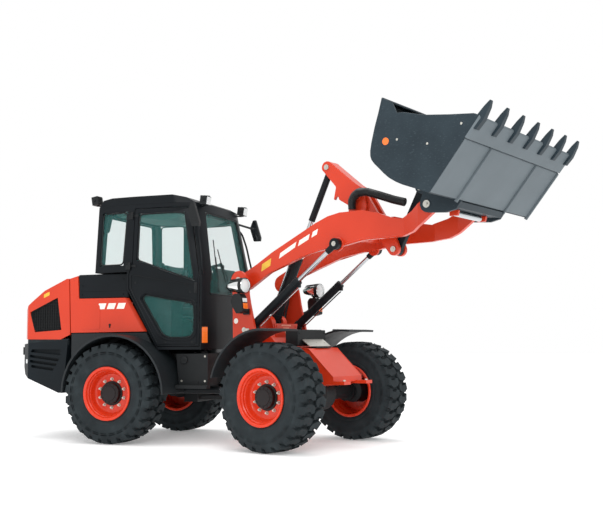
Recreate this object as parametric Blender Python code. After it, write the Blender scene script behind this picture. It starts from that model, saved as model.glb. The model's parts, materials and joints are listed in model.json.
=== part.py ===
"""Compact articulated wheel loader with a cab, a Z-bar loader arm and a toothed bucket.

Metres, +Z up, +X forward along the rear frame, +Y to the machine's left. Everything is drawn
with the steering pivot at x = y = 0 and the ground at z = 0. The front frame's pieces are drawn
straight ahead and then turned about the pivot, and at the end the whole machine is moved so
that the middle of its box, on the ground, is the origin.
"""

from math import cos, pi, radians, sin

import bmesh
import bpy
from mathutils import Matrix, Vector

# Running gear
WHEEL_REACH = 0.985          # each axle's distance from the steering pivot
TRACK = 1.396                # between the tyres' middle planes
TYRE_RADIUS = 0.484
TYRE_WIDTH = 0.380
RIM_RADIUS = 0.2435          # the bead seat
RIM_FLANGE = 0.015           # how far the flange stands above the bead seat
RIM_GAP = 0.0015             # between the tyre's bead and the rim's seat
HUB_RADIUS = 0.118
AXLE_TUBE_RADIUS = 0.070
AXLE_BOWL_RADIUS = 0.160
WHEEL_STEPS = 24

# Steering joint
STEER_REST = 15.7            # the front frame is turned this far to its right, in degrees
LUG_RADIUS = 0.085
LUG_THICKNESS = 0.040
PIVOT_PIN_RADIUS = 0.036
PIVOT_PIN_PLAY = 0.0008
UPPER_LUG_Z = 0.760
LOWER_LUG_Z = 0.400
FORK_GAP = 0.006             # between the two frames' lugs

# Frames
RAIL_INNER = 0.235
RAIL_OUTER = 0.300
RAIL_TOP = 0.860
FRAME_LOW = 0.560
PLATE_GAP = 0.0004           # between pieces that are bolted face to face
PIN_END_GAP = 0.002          # between a pin's end and the plate that it runs in
TOWER_INNER = 0.392
TOWER_REAR = 0.295
TOWER_THICKNESS = 0.025
NOSE_HALF_WIDTH = 0.235

# Rear bodywork
BODY_HALF_WIDTH = 0.620
PANEL_THICKNESS = 0.030
COWL_TOP = 1.655
FENDER_CENTRE_X = -0.940
FENDER_RADIUS = 0.545
FENDER_THICKNESS = 0.020
FENDER_OUTER = 0.870
FRONT_FENDER_RADIUS = 0.585

# Cab
CAB_WALL = 0.045
CAB_FLOOR = 0.900
CAB_ROOF_SPLIT = 2.337
CAB_TOP = 2.420
DOOR_GAP = 0.007
DOOR_EDGE_SLANT = 0.018       # how much further back the inside of the door's front edge ends
GLASS_THICKNESS = 0.008
GLASS_GAP = 0.0010
HINGE_PROUD = 0.016          # the door's hinge axis outside its skin

# Loader linkage, in the front frame's own x and z
ARM_PIVOT = (0.360, 1.555)
BUCKET_PIVOT = (2.420, 2.105)
BELLCRANK_PIVOT = (1.518, 2.303)
BELLCRANK_TOP = (1.162, 2.613)
BELLCRANK_LOW = (1.880, 1.789)
LINK_TOP = (2.160, 2.320)
LIFT_ROD_PIN = (1.439, 1.843)
LIFT_BASE_PIN = (0.433, 1.085)
TILT_BASE_PIN = (0.460, 1.150)
ARM_OUTER = 0.298
ARM_THICKNESS = 0.046
ARM_FLARE = 0.092            # how far the arm's tip stands further out than its body
FLARE_START = 2.120
FLARE_END = 2.310
TORQUE_TUBE = (1.480, 1.960)
TORQUE_TUBE_RADIUS = 0.072
LIFT_CYLINDER_Y = 0.346
LIFT_BARREL_RADIUS = 0.040
LIFT_ROD_RADIUS = 0.020
LIFT_BARREL_LENGTH = 0.742
LIFT_ROD_LENGTH = 0.805
TILT_BARREL_RADIUS = 0.052
TILT_ROD_RADIUS = 0.0225
TILT_BARREL_LENGTH = 0.700
TILT_SLEEVE_LENGTH = 0.540
TILT_SLEEVE_OVERLAP = 0.080
TILT_ROD_INSIDE = 0.300      # of the tilt rod inside its barrel
ROD_PLAY = 0.0008            # radial, between a rod and its bore
BORE_FLOOR = 0.012
LINK_HALF = 0.028            # half the thickness of the tilt link and of the tilt rod's eye
CRANK_INNER = 0.038
CRANK_OUTER = 0.074
BRACKET_INNER = 0.084
BRACKET_OUTER = 0.109

# Bucket
BUCKET_HALF_WIDTH = 0.936
BUCKET_PLATE = 0.020
TOOTH_COUNT = 7
TOOTH_WIDTH = 0.060
EAR_GAP = 0.006              # between an arm's tip and the bucket's ear
EAR_THICKNESS = 0.034

# Steering cylinders
STEER_REAR_PIN = (-0.500, 0.400)
STEER_FRONT_PIN = (0.225, 0.245)
STEER_PIN_Z = 0.505
STEER_BARREL_RADIUS = 0.036
STEER_ROD_RADIUS = 0.018
STEER_BARREL_LENGTH = 0.465
STEER_ROD_LENGTH = 0.485

ORANGE = (0.86, 0.13, 0.03)
CHARCOAL = (0.035, 0.037, 0.040)
BLACK = (0.012, 0.012, 0.013)
STEEL_GREY = (0.16, 0.17, 0.18)
SILVER = (0.65, 0.66, 0.68)
GLASS = (0.62, 0.80, 0.76)


# ------------------------------------------------------------------ small tools


def clear_scene():
    for thing in list(bpy.data.objects):
        bpy.data.objects.remove(thing, do_unlink=True)


def finish(name, colour, roughness, metallic=0.0):
    """A material named for the piece, with a Principled BSDF."""
    material = bpy.data.materials.new(name)
    material.use_nodes = True
    shader = material.node_tree.nodes["Principled BSDF"]
    shader.inputs["Base Color"].default_value = (*colour, 1.0)
    shader.inputs["Roughness"].default_value = roughness
    shader.inputs["Metallic"].default_value = metallic
    return material


def from_bmesh(name, shape):
    """A new object that holds the bmesh, with its faces turned outwards."""
    bmesh.ops.recalc_face_normals(shape, faces=shape.faces)
    mesh = bpy.data.meshes.new(name)
    shape.to_mesh(mesh)
    shape.free()
    made = bpy.data.objects.new(name, mesh)
    bpy.context.scene.collection.objects.link(made)
    return made


def loft(name, rings):
    """A closed solid through rings of points, each ring with as many points as the others."""
    shape = bmesh.new()
    loops = [[shape.verts.new(point) for point in ring] for ring in rings]
    count = len(rings[0])
    for low, high in zip(loops, loops[1:]):
        for i in range(count):
            j = (i + 1) % count
            shape.faces.new((low[i], low[j], high[j], high[i]))
    shape.faces.new(loops[0][::-1])
    shape.faces.new(loops[-1])
    return from_bmesh(name, shape)


def prism(name, outline, low, high):
    """The (x, z) outline from y = low to y = high."""
    return loft(name, [[(x, y, z) for x, z in outline] for y in (low, high)])


def slab(name, outline, low, high):
    """The (x, y) outline from z = low to z = high."""
    return loft(name, [[(x, y, z) for x, y in outline] for z in (low, high)])


def facing(name, outline, low, high):
    """The (y, z) outline from x = low to x = high."""
    return loft(name, [[(x, y, z) for y, z in outline] for x in (low, high)])


def block(name, low, high):
    corners = [(low[0], low[1]), (high[0], low[1]), (high[0], high[1]), (low[0], high[1])]
    return slab(name, corners, low[2], high[2])


def turned(name, profile, steps=24, offset=0.5):
    """The (radius, length) profile turned about +Z. The offset turns it by a part of a step."""
    shape = bmesh.new()
    start = Matrix.Rotation(2 * pi * offset / steps, 3, "Z")
    points = [shape.verts.new(start @ Vector((radius, 0, length))) for radius, length in profile]
    edges = [shape.edges.new(pair) for pair in zip(points, points[1:])]
    if profile[0][0] > 0 and profile[-1][0] > 0:
        edges.append(shape.edges.new((points[-1], points[0])))
    bmesh.ops.spin(shape, geom=points + edges, cent=(0, 0, 0), axis=(0, 0, 1), angle=2 * pi,
                   steps=steps, use_merge=True)
    bmesh.ops.remove_doubles(shape, verts=shape.verts, dist=0.00001)
    return from_bmesh(name, shape)


def move(made, matrix):
    """Moves the mesh itself, so that the object stays where it is."""
    made.data.transform(matrix)
    if matrix.determinant() < 0:
        made.data.flip_normals()
    return made


def lay_along(made, start, end):
    """Turns a piece drawn along +Z from the origin so that it runs from start towards end."""
    start = Vector(start)
    turn = Vector((0, 0, 1)).rotation_difference(Vector(end) - start).to_matrix().to_4x4()
    return move(made, Matrix.Translation(start) @ turn)


def rod(name, start, end, radius, steps=16):
    length = (Vector(end) - Vector(start)).length
    made = turned(name, [(0, 0), (radius, 0), (radius, length), (0, length)], steps)
    return lay_along(made, start, end)


def across(name, point, radius, low, high, steps=20):
    """A round bar along Y at the (x, z) point."""
    return rod(name, (point[0], low, point[1]), (point[0], high, point[1]), radius, steps)


def combine(made, others, operation="UNION"):
    """Applies a Boolean with each of the other pieces, which are used up."""
    for other in others:
        modifier = made.modifiers.new("combine", "BOOLEAN")
        modifier.operation = operation
        modifier.solver = "EXACT"
        modifier.object = other
        graph = bpy.context.evaluated_depsgraph_get()
        result = bpy.data.meshes.new_from_object(made.evaluated_get(graph))
        made.modifiers.clear()
        made.data = result
        bpy.data.objects.remove(other, do_unlink=True)
    return made


def cut(made, *tools):
    return combine(made, tools, "DIFFERENCE")


def keep_inside(made, *tools):
    return combine(made, tools, "INTERSECT")


def copy_of(made, name, matrix):
    twin = bpy.data.objects.new(name, made.data.copy())
    bpy.context.scene.collection.objects.link(twin)
    return move(twin, matrix)


MIRROR_Y = Matrix.Diagonal((1, -1, 1, 1))


def mirrored(made, name):
    return copy_of(made, name, MIRROR_Y)


def arc(centre, radius, start, end, steps):
    """Points on a circle, from the start angle to the end angle in degrees."""
    turns = [radians(start + (end - start) * i / steps) for i in range(steps + 1)]
    return [(centre[0] + radius * cos(t), centre[1] + radius * sin(t)) for t in turns]


def inset(outline, amount):
    """The outline moved inwards by the amount, with mitred corners. It runs anticlockwise."""
    area = sum(a[0] * b[1] - b[0] * a[1] for a, b in zip(outline, outline[1:] + outline[:1]))
    side = 1 if area > 0 else -1
    points = [Vector(point) for point in outline]
    moved = []
    for before, here, after in zip(points[-1:] + points[:-1], points, points[1:] + points[:1]):
        one = (here - before).normalized()
        two = (after - here).normalized()
        normal_one = Vector((-one.y, one.x)) * side
        normal_two = Vector((-two.y, two.x)) * side
        reach = amount / (1 + normal_one.dot(normal_two))
        moved.append(tuple(here + (normal_one + normal_two) * reach))
    return moved


class Joints:
    """The empties that carry the moving pieces, each with its place in its frame's drawing."""

    def __init__(self):
        self.root = bpy.data.objects.new("machine", None)
        bpy.context.scene.collection.objects.link(self.root)
        self.places = {"machine": Vector((0, 0, 0))}
        self.turns = {"machine": Matrix.Identity(3)}

    def add(self, name, parent, place, direction=None):
        """An empty at the place. With a direction its own +Z points that way, as drawn."""
        made = bpy.data.objects.new(name, None)
        bpy.context.scene.collection.objects.link(made)
        made.parent = bpy.data.objects[parent]
        turn = Matrix.Identity(3)
        if direction is not None:
            turn = Vector((0, 0, 1)).rotation_difference(Vector(direction)).to_matrix()
        parent_turn = self.turns[parent]
        step = Vector(place) - self.places[parent]
        made.location = parent_turn.transposed() @ step
        made.rotation_euler = (parent_turn.transposed() @ turn).to_euler()
        self.places[name] = Vector(place)
        self.turns[name] = turn
        return made

    def carry(self, parent, *pieces):
        """Hangs pieces, drawn in the frame's own place, on the joint's empty."""
        frame = Matrix.Translation(self.places[parent]) @ self.turns[parent].to_4x4()
        for piece in pieces:
            piece.data.transform(frame.inverted())
            piece.parent = bpy.data.objects[parent]


def dress(material, *pieces):
    for piece in pieces:
        piece.data.materials.clear()
        piece.data.materials.append(material)
        piece.data.shade_smooth()
        piece.data.set_sharp_from_angle(angle=radians(35))


# ------------------------------------------------------------------ wheels and axles


def tyre(name):
    """A wide low tyre, solid from its bead to its tread, turned about Y."""
    half = TYRE_WIDTH / 2
    bead = RIM_RADIUS + RIM_GAP
    flat = TYRE_RADIUS / cos(pi / WHEEL_STEPS)
    side = [(bead, half - 0.030), (bead + 0.022, half - 0.028), (0.340, half - 0.004),
            (0.430, half - 0.002), (flat - 0.012, half - 0.026), (flat, half - 0.075)]
    profile = side + [(radius, -y) for radius, y in reversed(side)]
    made = turned(name, profile, WHEEL_STEPS)
    return move(made, Matrix.Rotation(-pi / 2, 4, "X"))


def rim(name):
    """Barrel, dished disc and hub in one piece, its outer side towards +Y."""
    seat = TYRE_WIDTH / 2 - 0.026
    lip = RIM_RADIUS + RIM_FLANGE
    half = TYRE_WIDTH / 2 - 0.013
    profile = [(0, 0.138), (HUB_RADIUS, 0.130), (HUB_RADIUS, 0.060), (0.180, 0.060), (0.212, 0.105),
               (0.232, half), (lip, half), (lip, seat), (RIM_RADIUS, seat), (RIM_RADIUS, -seat),
               (lip, -seat), (lip, -half), (0.232, -half), (0.205, 0.030), (0, 0.036)]
    made = turned(name, profile, WHEEL_STEPS)
    return move(made, Matrix.Rotation(-pi / 2, 4, "X"))


def wheel(joints, parent, label, x, side, rubber, paint):
    """One tyre and its rim, on a joint at the wheel's middle."""
    middle = (x, side * TRACK / 2, TYRE_RADIUS)
    joints.add(f"wheel_{label}", parent, middle)
    round_piece = tyre(f"tyre_{label}")
    dished = rim(f"rim_{label}")
    if side < 0:
        move(dished, Matrix.Rotation(pi, 4, "Z"))
    for piece, material in ((round_piece, rubber), (dished, paint)):
        dress(material, piece)
        move(piece, Matrix.Translation(middle))
        joints.carry(f"wheel_{label}", piece)


def axle(name, x):
    """Bowl, tubes and end flanges, turned about Y. The flanges reach into the rims."""
    end = TRACK / 2 + 0.026
    half = [(AXLE_BOWL_RADIUS, 0.075), (0.100, 0.170), (AXLE_TUBE_RADIUS, 0.205),
            (AXLE_TUBE_RADIUS, end - 0.160), (0.115, end - 0.140), (0.115, end), (0, end)]
    profile = [(radius, -y) for radius, y in reversed(half)] + half
    made = turned(name, profile, 20)
    move(made, Matrix.Rotation(-pi / 2, 4, "X"))
    return move(made, Matrix.Translation((x, 0, TYRE_RADIUS)))


# ------------------------------------------------------------------ rear frame


def rear_chassis():
    """Two rails over the axle, a front cross member and the two lugs of the steering joint."""
    rail_low = TYRE_RADIUS + AXLE_TUBE_RADIUS + 0.001
    rails = [block("rear_chassis", (-1.655, low, rail_low), (-0.330, low + RAIL_OUTER - RAIL_INNER, RAIL_TOP))
             for low in (RAIL_INNER, -RAIL_OUTER)]
    cross = block("cross", (-0.480, -0.240, 0.380), (-0.330, 0.240, RAIL_TOP))
    rear_cross = block("rear_cross", (-1.655, -RAIL_OUTER, rail_low), (-1.560, RAIL_OUTER, 0.640))
    pieces = [rails[1], cross, rear_cross]
    for z in (UPPER_LUG_Z, LOWER_LUG_Z):
        tongue = [(-0.400, -0.200)] + arc((0, 0), LUG_RADIUS, -90, 90, 10) + [(-0.400, 0.200)]
        pieces.append(slab("lug", tongue, z, z + LUG_THICKNESS))
    for side in (-1, 1):
        ear_x, ear_y = STEER_REAR_PIN
        ear = [(-0.580, side * 0.260), (-0.420, side * 0.260), (ear_x + 0.045, side * (ear_y + 0.030)),
               (ear_x - 0.045, side * (ear_y + 0.030))]
        pieces.append(slab("ear", ear, STEER_PIN_Z + STEER_BARREL_RADIUS + 0.010, 0.580))
    pieces.append(rod("pin", (0, 0, LOWER_LUG_Z - 0.012), (0, 0, UPPER_LUG_Z + LUG_THICKNESS + 0.012),
                      PIVOT_PIN_RADIUS, 20))
    return combine(rails[0], pieces)


def counterweight():
    """The cast block behind the engine, with its plan corners cut back."""
    side = [(-2.242, 0.958), (-2.229, 0.792), (-2.167, 0.651), (-2.063, 0.605), (-1.709, 0.470),
            (-1.655, 0.470), (-1.600, 1.000)]
    plan = [(-1.550, -BODY_HALF_WIDTH), (-1.550, BODY_HALF_WIDTH), (-2.080, BODY_HALF_WIDTH),
            (-2.200, 0.520), (-2.250, 0.300), (-2.250, -0.300), (-2.200, -0.520),
            (-2.080, -BODY_HALF_WIDTH)]
    made = prism("counterweight", side, -0.700, 0.700)
    keep_inside(made, slab("plan", plan, 0.400, 1.100))
    pocket = block("pocket", (-1.660, -RAIL_OUTER - 0.005, 0.400),
                   (-1.500, RAIL_OUTER + 0.005, RAIL_TOP + 0.020))
    return cut(made, pocket)


def hood_outline():
    return [(-2.133, 1.010), (-2.138, 1.313), (-2.048, 1.389), (-1.892, 1.504), (-1.625, 1.620),
            (-1.598, 1.620), (-1.578, 1.056), (-1.690, 1.006)]


def engine_hood():
    """The rear hood, a shell that is open in front and below, with its side vents cut."""
    outline = hood_outline()
    made = prism("engine_hood", outline, -BODY_HALF_WIDTH, BODY_HALF_WIDTH)
    corner = 0.070
    plan = [(-1.500, -BODY_HALF_WIDTH), (-1.500, BODY_HALF_WIDTH),
            (-2.160 + corner, BODY_HALF_WIDTH), (-2.160, BODY_HALF_WIDTH - corner),
            (-2.160, corner - BODY_HALF_WIDTH), (-2.160 + corner, -BODY_HALF_WIDTH)]
    keep_inside(made, slab("plan", plan, 0.900, 1.700))
    hollow = [(-2.103, 0.900), (-2.108, 1.300), (-2.032, 1.363), (-1.878, 1.476), (-1.625, 1.588),
              (-1.500, 1.588), (-1.500, 0.900)]
    inner = BODY_HALF_WIDTH - PANEL_THICKNESS
    room = prism("room", hollow, -inner, inner)
    vent = inset([(-2.065, 1.287), (-1.732, 1.432), (-1.682, 1.102), (-2.003, 1.082)], 0.0)
    return cut(made, room, prism("vents", vent, -1.0, 1.0))


def side_panels():
    """Both flanks of the engine bay and the band over the top that joins them."""
    flank = [(-1.588, 1.620), (-1.492, 1.645), (-1.478, 1.415), (-0.912, 1.412), (-0.705, 1.078),
             (-1.567, 1.072)]
    made = prism("side_panels", flank, -BODY_HALF_WIDTH, BODY_HALF_WIDTH)
    inner = BODY_HALF_WIDTH - PANEL_THICKNESS
    room = block("room", (-1.700, -inner, 1.000), (-0.500, inner, 1.602))
    return cut(made, room)


def engine_cowl():
    """The dark cover between the engine bay's flanks and the back of the cab."""
    low = 1.416
    outline = [(-1.474, low), (-1.486, COWL_TOP), (-0.900, COWL_TOP), (-0.902, low)]
    made = prism("engine_cowl", outline, -BODY_HALF_WIDTH + 0.002, BODY_HALF_WIDTH - 0.002)
    inner = BODY_HALF_WIDTH - PANEL_THICKNESS
    room = block("room", (-1.448, -inner, 1.300), (-0.930, inner, COWL_TOP - PANEL_THICKNESS))
    return cut(made, room)


def rear_fender(name):
    """The arch over the right rear wheel and the dark flank above it."""
    centre = (FENDER_CENTRE_X, TYRE_RADIUS)
    outer = FENDER_RADIUS + FENDER_THICKNESS
    ring = arc(centre, outer, 0, 180, 18) + arc(centre, FENDER_RADIUS, 180, 0, 18)
    arch = prism(name, ring, -FENDER_OUTER, -BODY_HALF_WIDTH + 0.190)
    web = arc(centre, FENDER_RADIUS + 0.010, 56, 168, 12)
    web += [(-1.560, 0.640), (-1.560, 1.066), (-0.700, 1.066)]
    inner = -BODY_HALF_WIDTH + PANEL_THICKNESS
    return combine(arch, [prism("web", web, -BODY_HALF_WIDTH, inner)])


# ------------------------------------------------------------------ cab


def cab_plan(z):
    """Half of the cab's (x, y) outline at a height, from the back to the middle of the front."""
    low = min(max((1.640 - z) / 0.740, 0), 1)
    high = min(max((z - 1.640) / 0.780, 0), 1)
    rear_y = 0.620 - 0.055 * high
    pillar_y = 0.665 - 0.070 * high - 0.005 * low
    door_y = 0.655 - 0.075 * high - 0.005 * low
    corner_x = -0.100 - 0.150 * high
    corner_y = 0.548 - 0.092 * high + 0.012 * low
    return [(-1.400, rear_y), (-0.865, pillar_y), (-0.450, door_y), (corner_x - 0.030, corner_y + 0.012),
            (corner_x, corner_y - 0.025), (corner_x + 0.038, corner_y - 0.200)]


def cab_block(name, amount):
    """The cab's outer shape moved inwards by the amount, solid."""
    side = [(-0.555, CAB_FLOOR), (-0.897, 1.500), (-0.897, 1.665), (-1.285, 1.665), (-1.272, 2.330),
            (-1.225, 2.402), (-1.120, CAB_TOP), (-0.440, CAB_TOP), (-0.320, 2.396), (-0.245, 2.350),
            (0.100, 2.310), (0.100, CAB_FLOOR)]
    made = prism(name, inset(side, amount), -0.800, 0.800)
    rings = []
    for z in (CAB_FLOOR - 0.100, 1.640, CAB_TOP + 0.100):
        half = cab_plan(z)
        whole = half + [(x, -y) for x, y in reversed(half)]
        rings.append([(x, y, z) for x, y in inset(whole, amount)])
    return keep_inside(made, loft("plan", rings))


def cab_shell(name, outer, inner):
    return cut(cab_block(name, outer), cab_block("hollow", inner))


def door_outline():
    """The door seen from the side, leaning forward to the front pillar."""
    return [(-0.838, 2.290), (-0.838, 1.740), (-0.872, 1.640), (-0.872, 1.500), (-0.560, 0.935),
            (-0.150, 0.935), (-0.150, 1.600), (-0.275, 2.290)]


def upper_door_window():
    return [(-0.800, 2.245), (-0.800, 1.775), (-0.195, 1.560), (-0.205, 1.640), (-0.318, 2.245)]


def lower_door_window():
    return [(-0.735, 1.400), (-0.690, 1.440), (-0.230, 1.360), (-0.195, 1.320), (-0.195, 1.060),
            (-0.240, 1.010), (-0.440, 1.010), (-0.510, 1.040)]


def quarter_outline():
    return [(-1.225, 2.270), (-1.235, 1.730), (-0.945, 1.730), (-0.925, 2.270)]


def windscreen_outline():
    return [(-0.470, 1.430), (0.470, 1.430), (0.440, 1.640), (0.372, 2.255), (-0.372, 2.255),
            (-0.440, 1.640)]


def rear_window_outline():
    return [(-0.520, 1.740), (0.520, 1.740), (0.475, 2.255), (-0.475, 2.255)]


def cab_frame():
    """Pillars, walls and floor in one shell, open for two doors and all the windows."""
    made = cab_shell("cab_frame", 0.0, CAB_WALL)
    roof = block("roof_cut", (-1.500, -0.900, CAB_ROOF_SPLIT), (0.200, 0.900, 2.600))
    openings = [roof,
                prism("doors", inset(door_outline(), -DOOR_GAP), -0.900, 0.900),
                prism("quarters", quarter_outline(), -0.900, 0.900),
                facing("windscreen_cut", windscreen_outline(), -0.300, 0.200),
                facing("rear_cut", rear_window_outline(), -1.400, -1.180)]
    return cut(made, *openings)


def cab_roof():
    made = cab_block("cab_roof", 0.0)
    low = CAB_ROOF_SPLIT + PLATE_GAP
    return keep_inside(made, block("top", (-1.500, -0.900, low), (0.200, 0.900, 2.600)))


def pane(name, outline, span, axis):
    """A sheet of glass that fills an opening, set a little inside the cab's skin."""
    depth = 0.014
    made = cab_shell(name, depth, depth + GLASS_THICKNESS)
    shrunk = inset(outline, GLASS_GAP)
    tool = facing("tool", shrunk, *span) if axis == "X" else prism("tool", shrunk, *span)
    return keep_inside(made, tool)


def door_slab():
    """The right door's thickness in plan, its front edge slanted to pass the pillar as it opens."""
    rings = []
    for z in (0.800, 1.640, CAB_TOP):
        pillar, front, corner = cab_plan(z)[1:4]
        slope = (corner[1] - front[1]) / (corner[0] - front[0])
        edge_x = corner[0] - 0.020
        end_x = edge_x - DOOR_EDGE_SLANT
        depth = CAB_WALL + 0.004
        plan = [(-1.000, 0.900), (edge_x + 0.100, 0.900), (edge_x, front[1] + slope * (edge_x - front[0])),
                (end_x, front[1] + slope * (end_x - front[0]) - depth), (front[0], front[1] - depth),
                (pillar[0], pillar[1] - depth), (-1.000, pillar[1] - depth)]
        rings.append([(x, -y, z) for x, y in plan])
    return loft("slab", rings)


def door(name):
    """The right door: a frame as thick as the cab's wall, with two windows cut."""
    made = cab_shell(name, 0.0, CAB_WALL)
    keep_inside(made, prism("leaf", door_outline(), -0.900, -0.300))
    keep_inside(made, door_slab())
    return cut(made, prism("upper", upper_door_window(), -0.900, 0.0),
               prism("lower", lower_door_window(), -0.900, 0.0))


def seat():
    """Suspension box, cushion and back of the driver's seat."""
    floor = CAB_FLOOR + CAB_WALL + PLATE_GAP
    box = block("seat", (-0.460, -0.170, floor), (-0.300, 0.170, 1.230))
    cushion = block("cushion", (-0.650, -0.240, 1.220), (-0.260, 0.240, 1.330))
    back = [(-0.670, 1.290), (-0.570, 1.290), (-0.690, 1.780), (-0.780, 1.780)]
    return combine(box, [cushion, prism("back", back, -0.230, 0.230)])


def steering_column():
    """Console, column and steering wheel, with the display pod beside them."""
    floor = CAB_FLOOR + CAB_WALL + PLATE_GAP
    console = prism("steering_column",
                    [(-0.165, floor), (-0.155, 1.480), (-0.200, 1.600), (-0.245, 1.560), (-0.225, floor)],
                    -0.110, 0.110)
    hub = (-0.335, 0, 1.625)
    shaft = rod("shaft", (-0.205, 0, 1.480), hub, 0.030, 10)
    ring = turned("ring", arc((0.165, 0), 0.016, 0, 288, 4), 16)
    ring_turn = Vector((0, 0, 1)).rotation_difference(Vector((-0.50, 0, 1))).to_matrix().to_4x4()
    move(ring, Matrix.Translation(hub) @ ring_turn)
    spokes = block("spokes", (-0.015, -0.165, -0.010), (0.015, 0.165, 0.010))
    move(spokes, Matrix.Translation(hub) @ ring_turn)
    pod = block("pod", (-0.240, -0.100, 1.540), (-0.180, 0.140, 1.700))
    return combine(console, [shaft, ring, spokes, pod])


def step_box(name):
    """The right side's tank with its tread bar below the door."""
    tank = prism(name, [(-0.360, 0.560), (-0.050, 0.560), (-0.050, 0.860), (-0.390, 0.860)],
                 -0.580, -0.365)
    tread = block("tread", (-0.364, -0.650, 0.530), (-0.030, -0.570, 0.562))
    hanger = block("hanger", (-0.250, -0.585, 0.530), (-0.150, -0.430, 0.600))
    bracket = block("bracket", (-0.385, -0.430, 0.700), (-0.331, -RAIL_OUTER - PLATE_GAP, 0.820))
    return combine(tank, [tread, hanger, bracket])


def mirror(name):
    """The right mirror on its bracket from the front pillar."""
    glass = [(-0.185, 2.215), (-0.150, 2.300), (-0.120, 2.305), (-0.060, 2.110), (-0.065, 2.070),
             (-0.140, 2.070)]
    plate = prism(name, glass, -0.755, -0.715)
    arm = rod("arm", (-0.130, -0.735, 2.200), (-0.230, -0.5100, 2.235), 0.012, 10)
    return combine(plate, [arm])


# ------------------------------------------------------------------ front frame


def front_chassis():
    """Nose, tower plates and steering lugs of the front frame, drawn straight ahead."""
    side = ([(TOWER_REAR, FRAME_LOW), (TOWER_REAR - 0.010, 1.480)]
            + arc(ARM_PIVOT, 0.095, 200, 20, 8)
            + [(0.500, 1.330), (0.560, 1.090), (0.640, 0.940), (0.900, 0.880), (0.900, 0.600),
               (0.780, FRAME_LOW)])
    outer = TOWER_INNER + TOWER_THICKNESS
    tower = prism("front_chassis", side, TOWER_INNER, outer)
    pieces = [prism("tower", side, -outer, -TOWER_INNER)]
    belly = [(TOWER_REAR, FRAME_LOW), (TOWER_REAR, 0.960), (0.560, 0.960), (0.900, 0.880), (0.900, 0.600),
             (0.780, FRAME_LOW)]
    pieces.append(prism("belly", belly, -TOWER_INNER - 0.005, TOWER_INNER + 0.005))
    nose = [(0.150, FRAME_LOW), (0.150, 0.920), (0.240, 1.065), (0.560, 1.065), (0.700, 0.927), (1.051, 0.905),
            (1.325, 0.651), (1.330, 0.600), (1.180, FRAME_LOW)]
    pieces.append(prism("nose", nose, -NOSE_HALF_WIDTH, NOSE_HALF_WIDTH))
    for low, high in ((-0.120, -0.060), (0.060, 0.120)):
        cheek = ([(0.350, 1.000)] + arc(TILT_BASE_PIN, 0.075, 180, 0, 8) + [(0.600, 1.000)])
        pieces.append(prism("cheek", cheek, low, high))
    for low, high in ((-0.235, -0.130), (0.130, 0.235)):
        pieces.append(block("flange", (1.250, low, 0.580), (1.445, high, 0.610)))
    lug_low = UPPER_LUG_Z - FORK_GAP - LUG_THICKNESS
    lug_high = LOWER_LUG_Z + LUG_THICKNESS + FORK_GAP
    for z in (lug_low, lug_high):
        tongue = [(0.200, 0.200)] + arc((0, 0), LUG_RADIUS, 90, 270, 10) + [(0.200, -0.200)]
        pieces.append(slab("lug", tongue, z, z + LUG_THICKNESS))
    pieces.append(block("post", (0.150, -0.200, lug_high), (0.230, 0.200, 0.700)))
    combine(tower, pieces)
    bore = rod("bore", (0, 0, 0.300), (0, 0, 1.000), PIVOT_PIN_RADIUS + PIVOT_PIN_PLAY, 20)
    clearance = AXLE_BOWL_RADIUS + 0.004
    bowl = across("bowl", (WHEEL_REACH, TYRE_RADIUS), clearance, -0.215, 0.215, 20)
    tube = across("tube", (WHEEL_REACH, TYRE_RADIUS), AXLE_TUBE_RADIUS + 0.008, -0.600, 0.600, 20)
    return cut(tower, bore, bowl, tube)


def front_axle_saddle():
    """Two seats that join the front axle's tubes to the frame above them."""
    return [block("saddle", (WHEEL_REACH - 0.050, low, TYRE_RADIUS),
                  (WHEEL_REACH + 0.050, low + 0.060, 0.640)) for low in (0.255, -0.315)]


def front_fender(name):
    """The curved guard behind the right front wheel and its bracket to the tower."""
    centre = (WHEEL_REACH, TYRE_RADIUS)
    ring = arc(centre, FRONT_FENDER_RADIUS + FENDER_THICKNESS, 82, 164, 10)
    ring += arc(centre, FRONT_FENDER_RADIUS, 164, 82, 10)
    edge = -TOWER_INNER - TOWER_THICKNESS - PLATE_GAP
    return prism(name, ring, -FENDER_OUTER, edge)


def headlamp(name):
    """The right headlamp on its bent bracket from the tower."""
    body = turned(name, [(0, -0.125), (0.045, -0.110), (0.068, -0.030), (0.072, 0.090), (0, 0.090)], 14)
    lay_along(body, (0.520, -0.600, 1.490), (1.520, -0.600, 1.490))
    stalk = rod("stalk", (0.500, -0.600, 1.470), (0.480, -0.500, 1.270), 0.016, 8)
    edge = -TOWER_INNER - TOWER_THICKNESS - PLATE_GAP
    foot = block("foot", (0.425, -0.520, 1.225), (0.500, edge, 1.285))
    return combine(body, [stalk, foot])


def valve_box():
    """The dark box that stands on the nose."""
    return block("valve_box", (0.775, -0.225, 0.928), (0.925, 0.225, 1.080))


# ------------------------------------------------------------------ loader linkage


def arm_outline():
    """One arm seen from the side, from its rear eye to its tip."""
    rear = arc(ARM_PIVOT, 0.085, 300, 120, 10)
    top = [(0.493, 1.715), (0.677, 1.818), (0.920, 1.935), (1.180, 2.055), (1.320, 2.108),
           (1.450, 2.132), (1.700, 2.132), (1.862, 2.092), (2.000, 2.040), (2.097, 2.022),
           (2.230, 2.072)]
    tip = arc(BUCKET_PIVOT, 0.075, 130, -55, 8)
    low = [(2.330, 1.945), (2.240, 1.895), (2.095, 1.868), (1.932, 1.866), (1.708, 1.864),
           (1.516, 1.830), (1.340, 1.815), (1.111, 1.780), (0.885, 1.702), (0.649, 1.625)]
    return rear + top + tip + low


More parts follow.
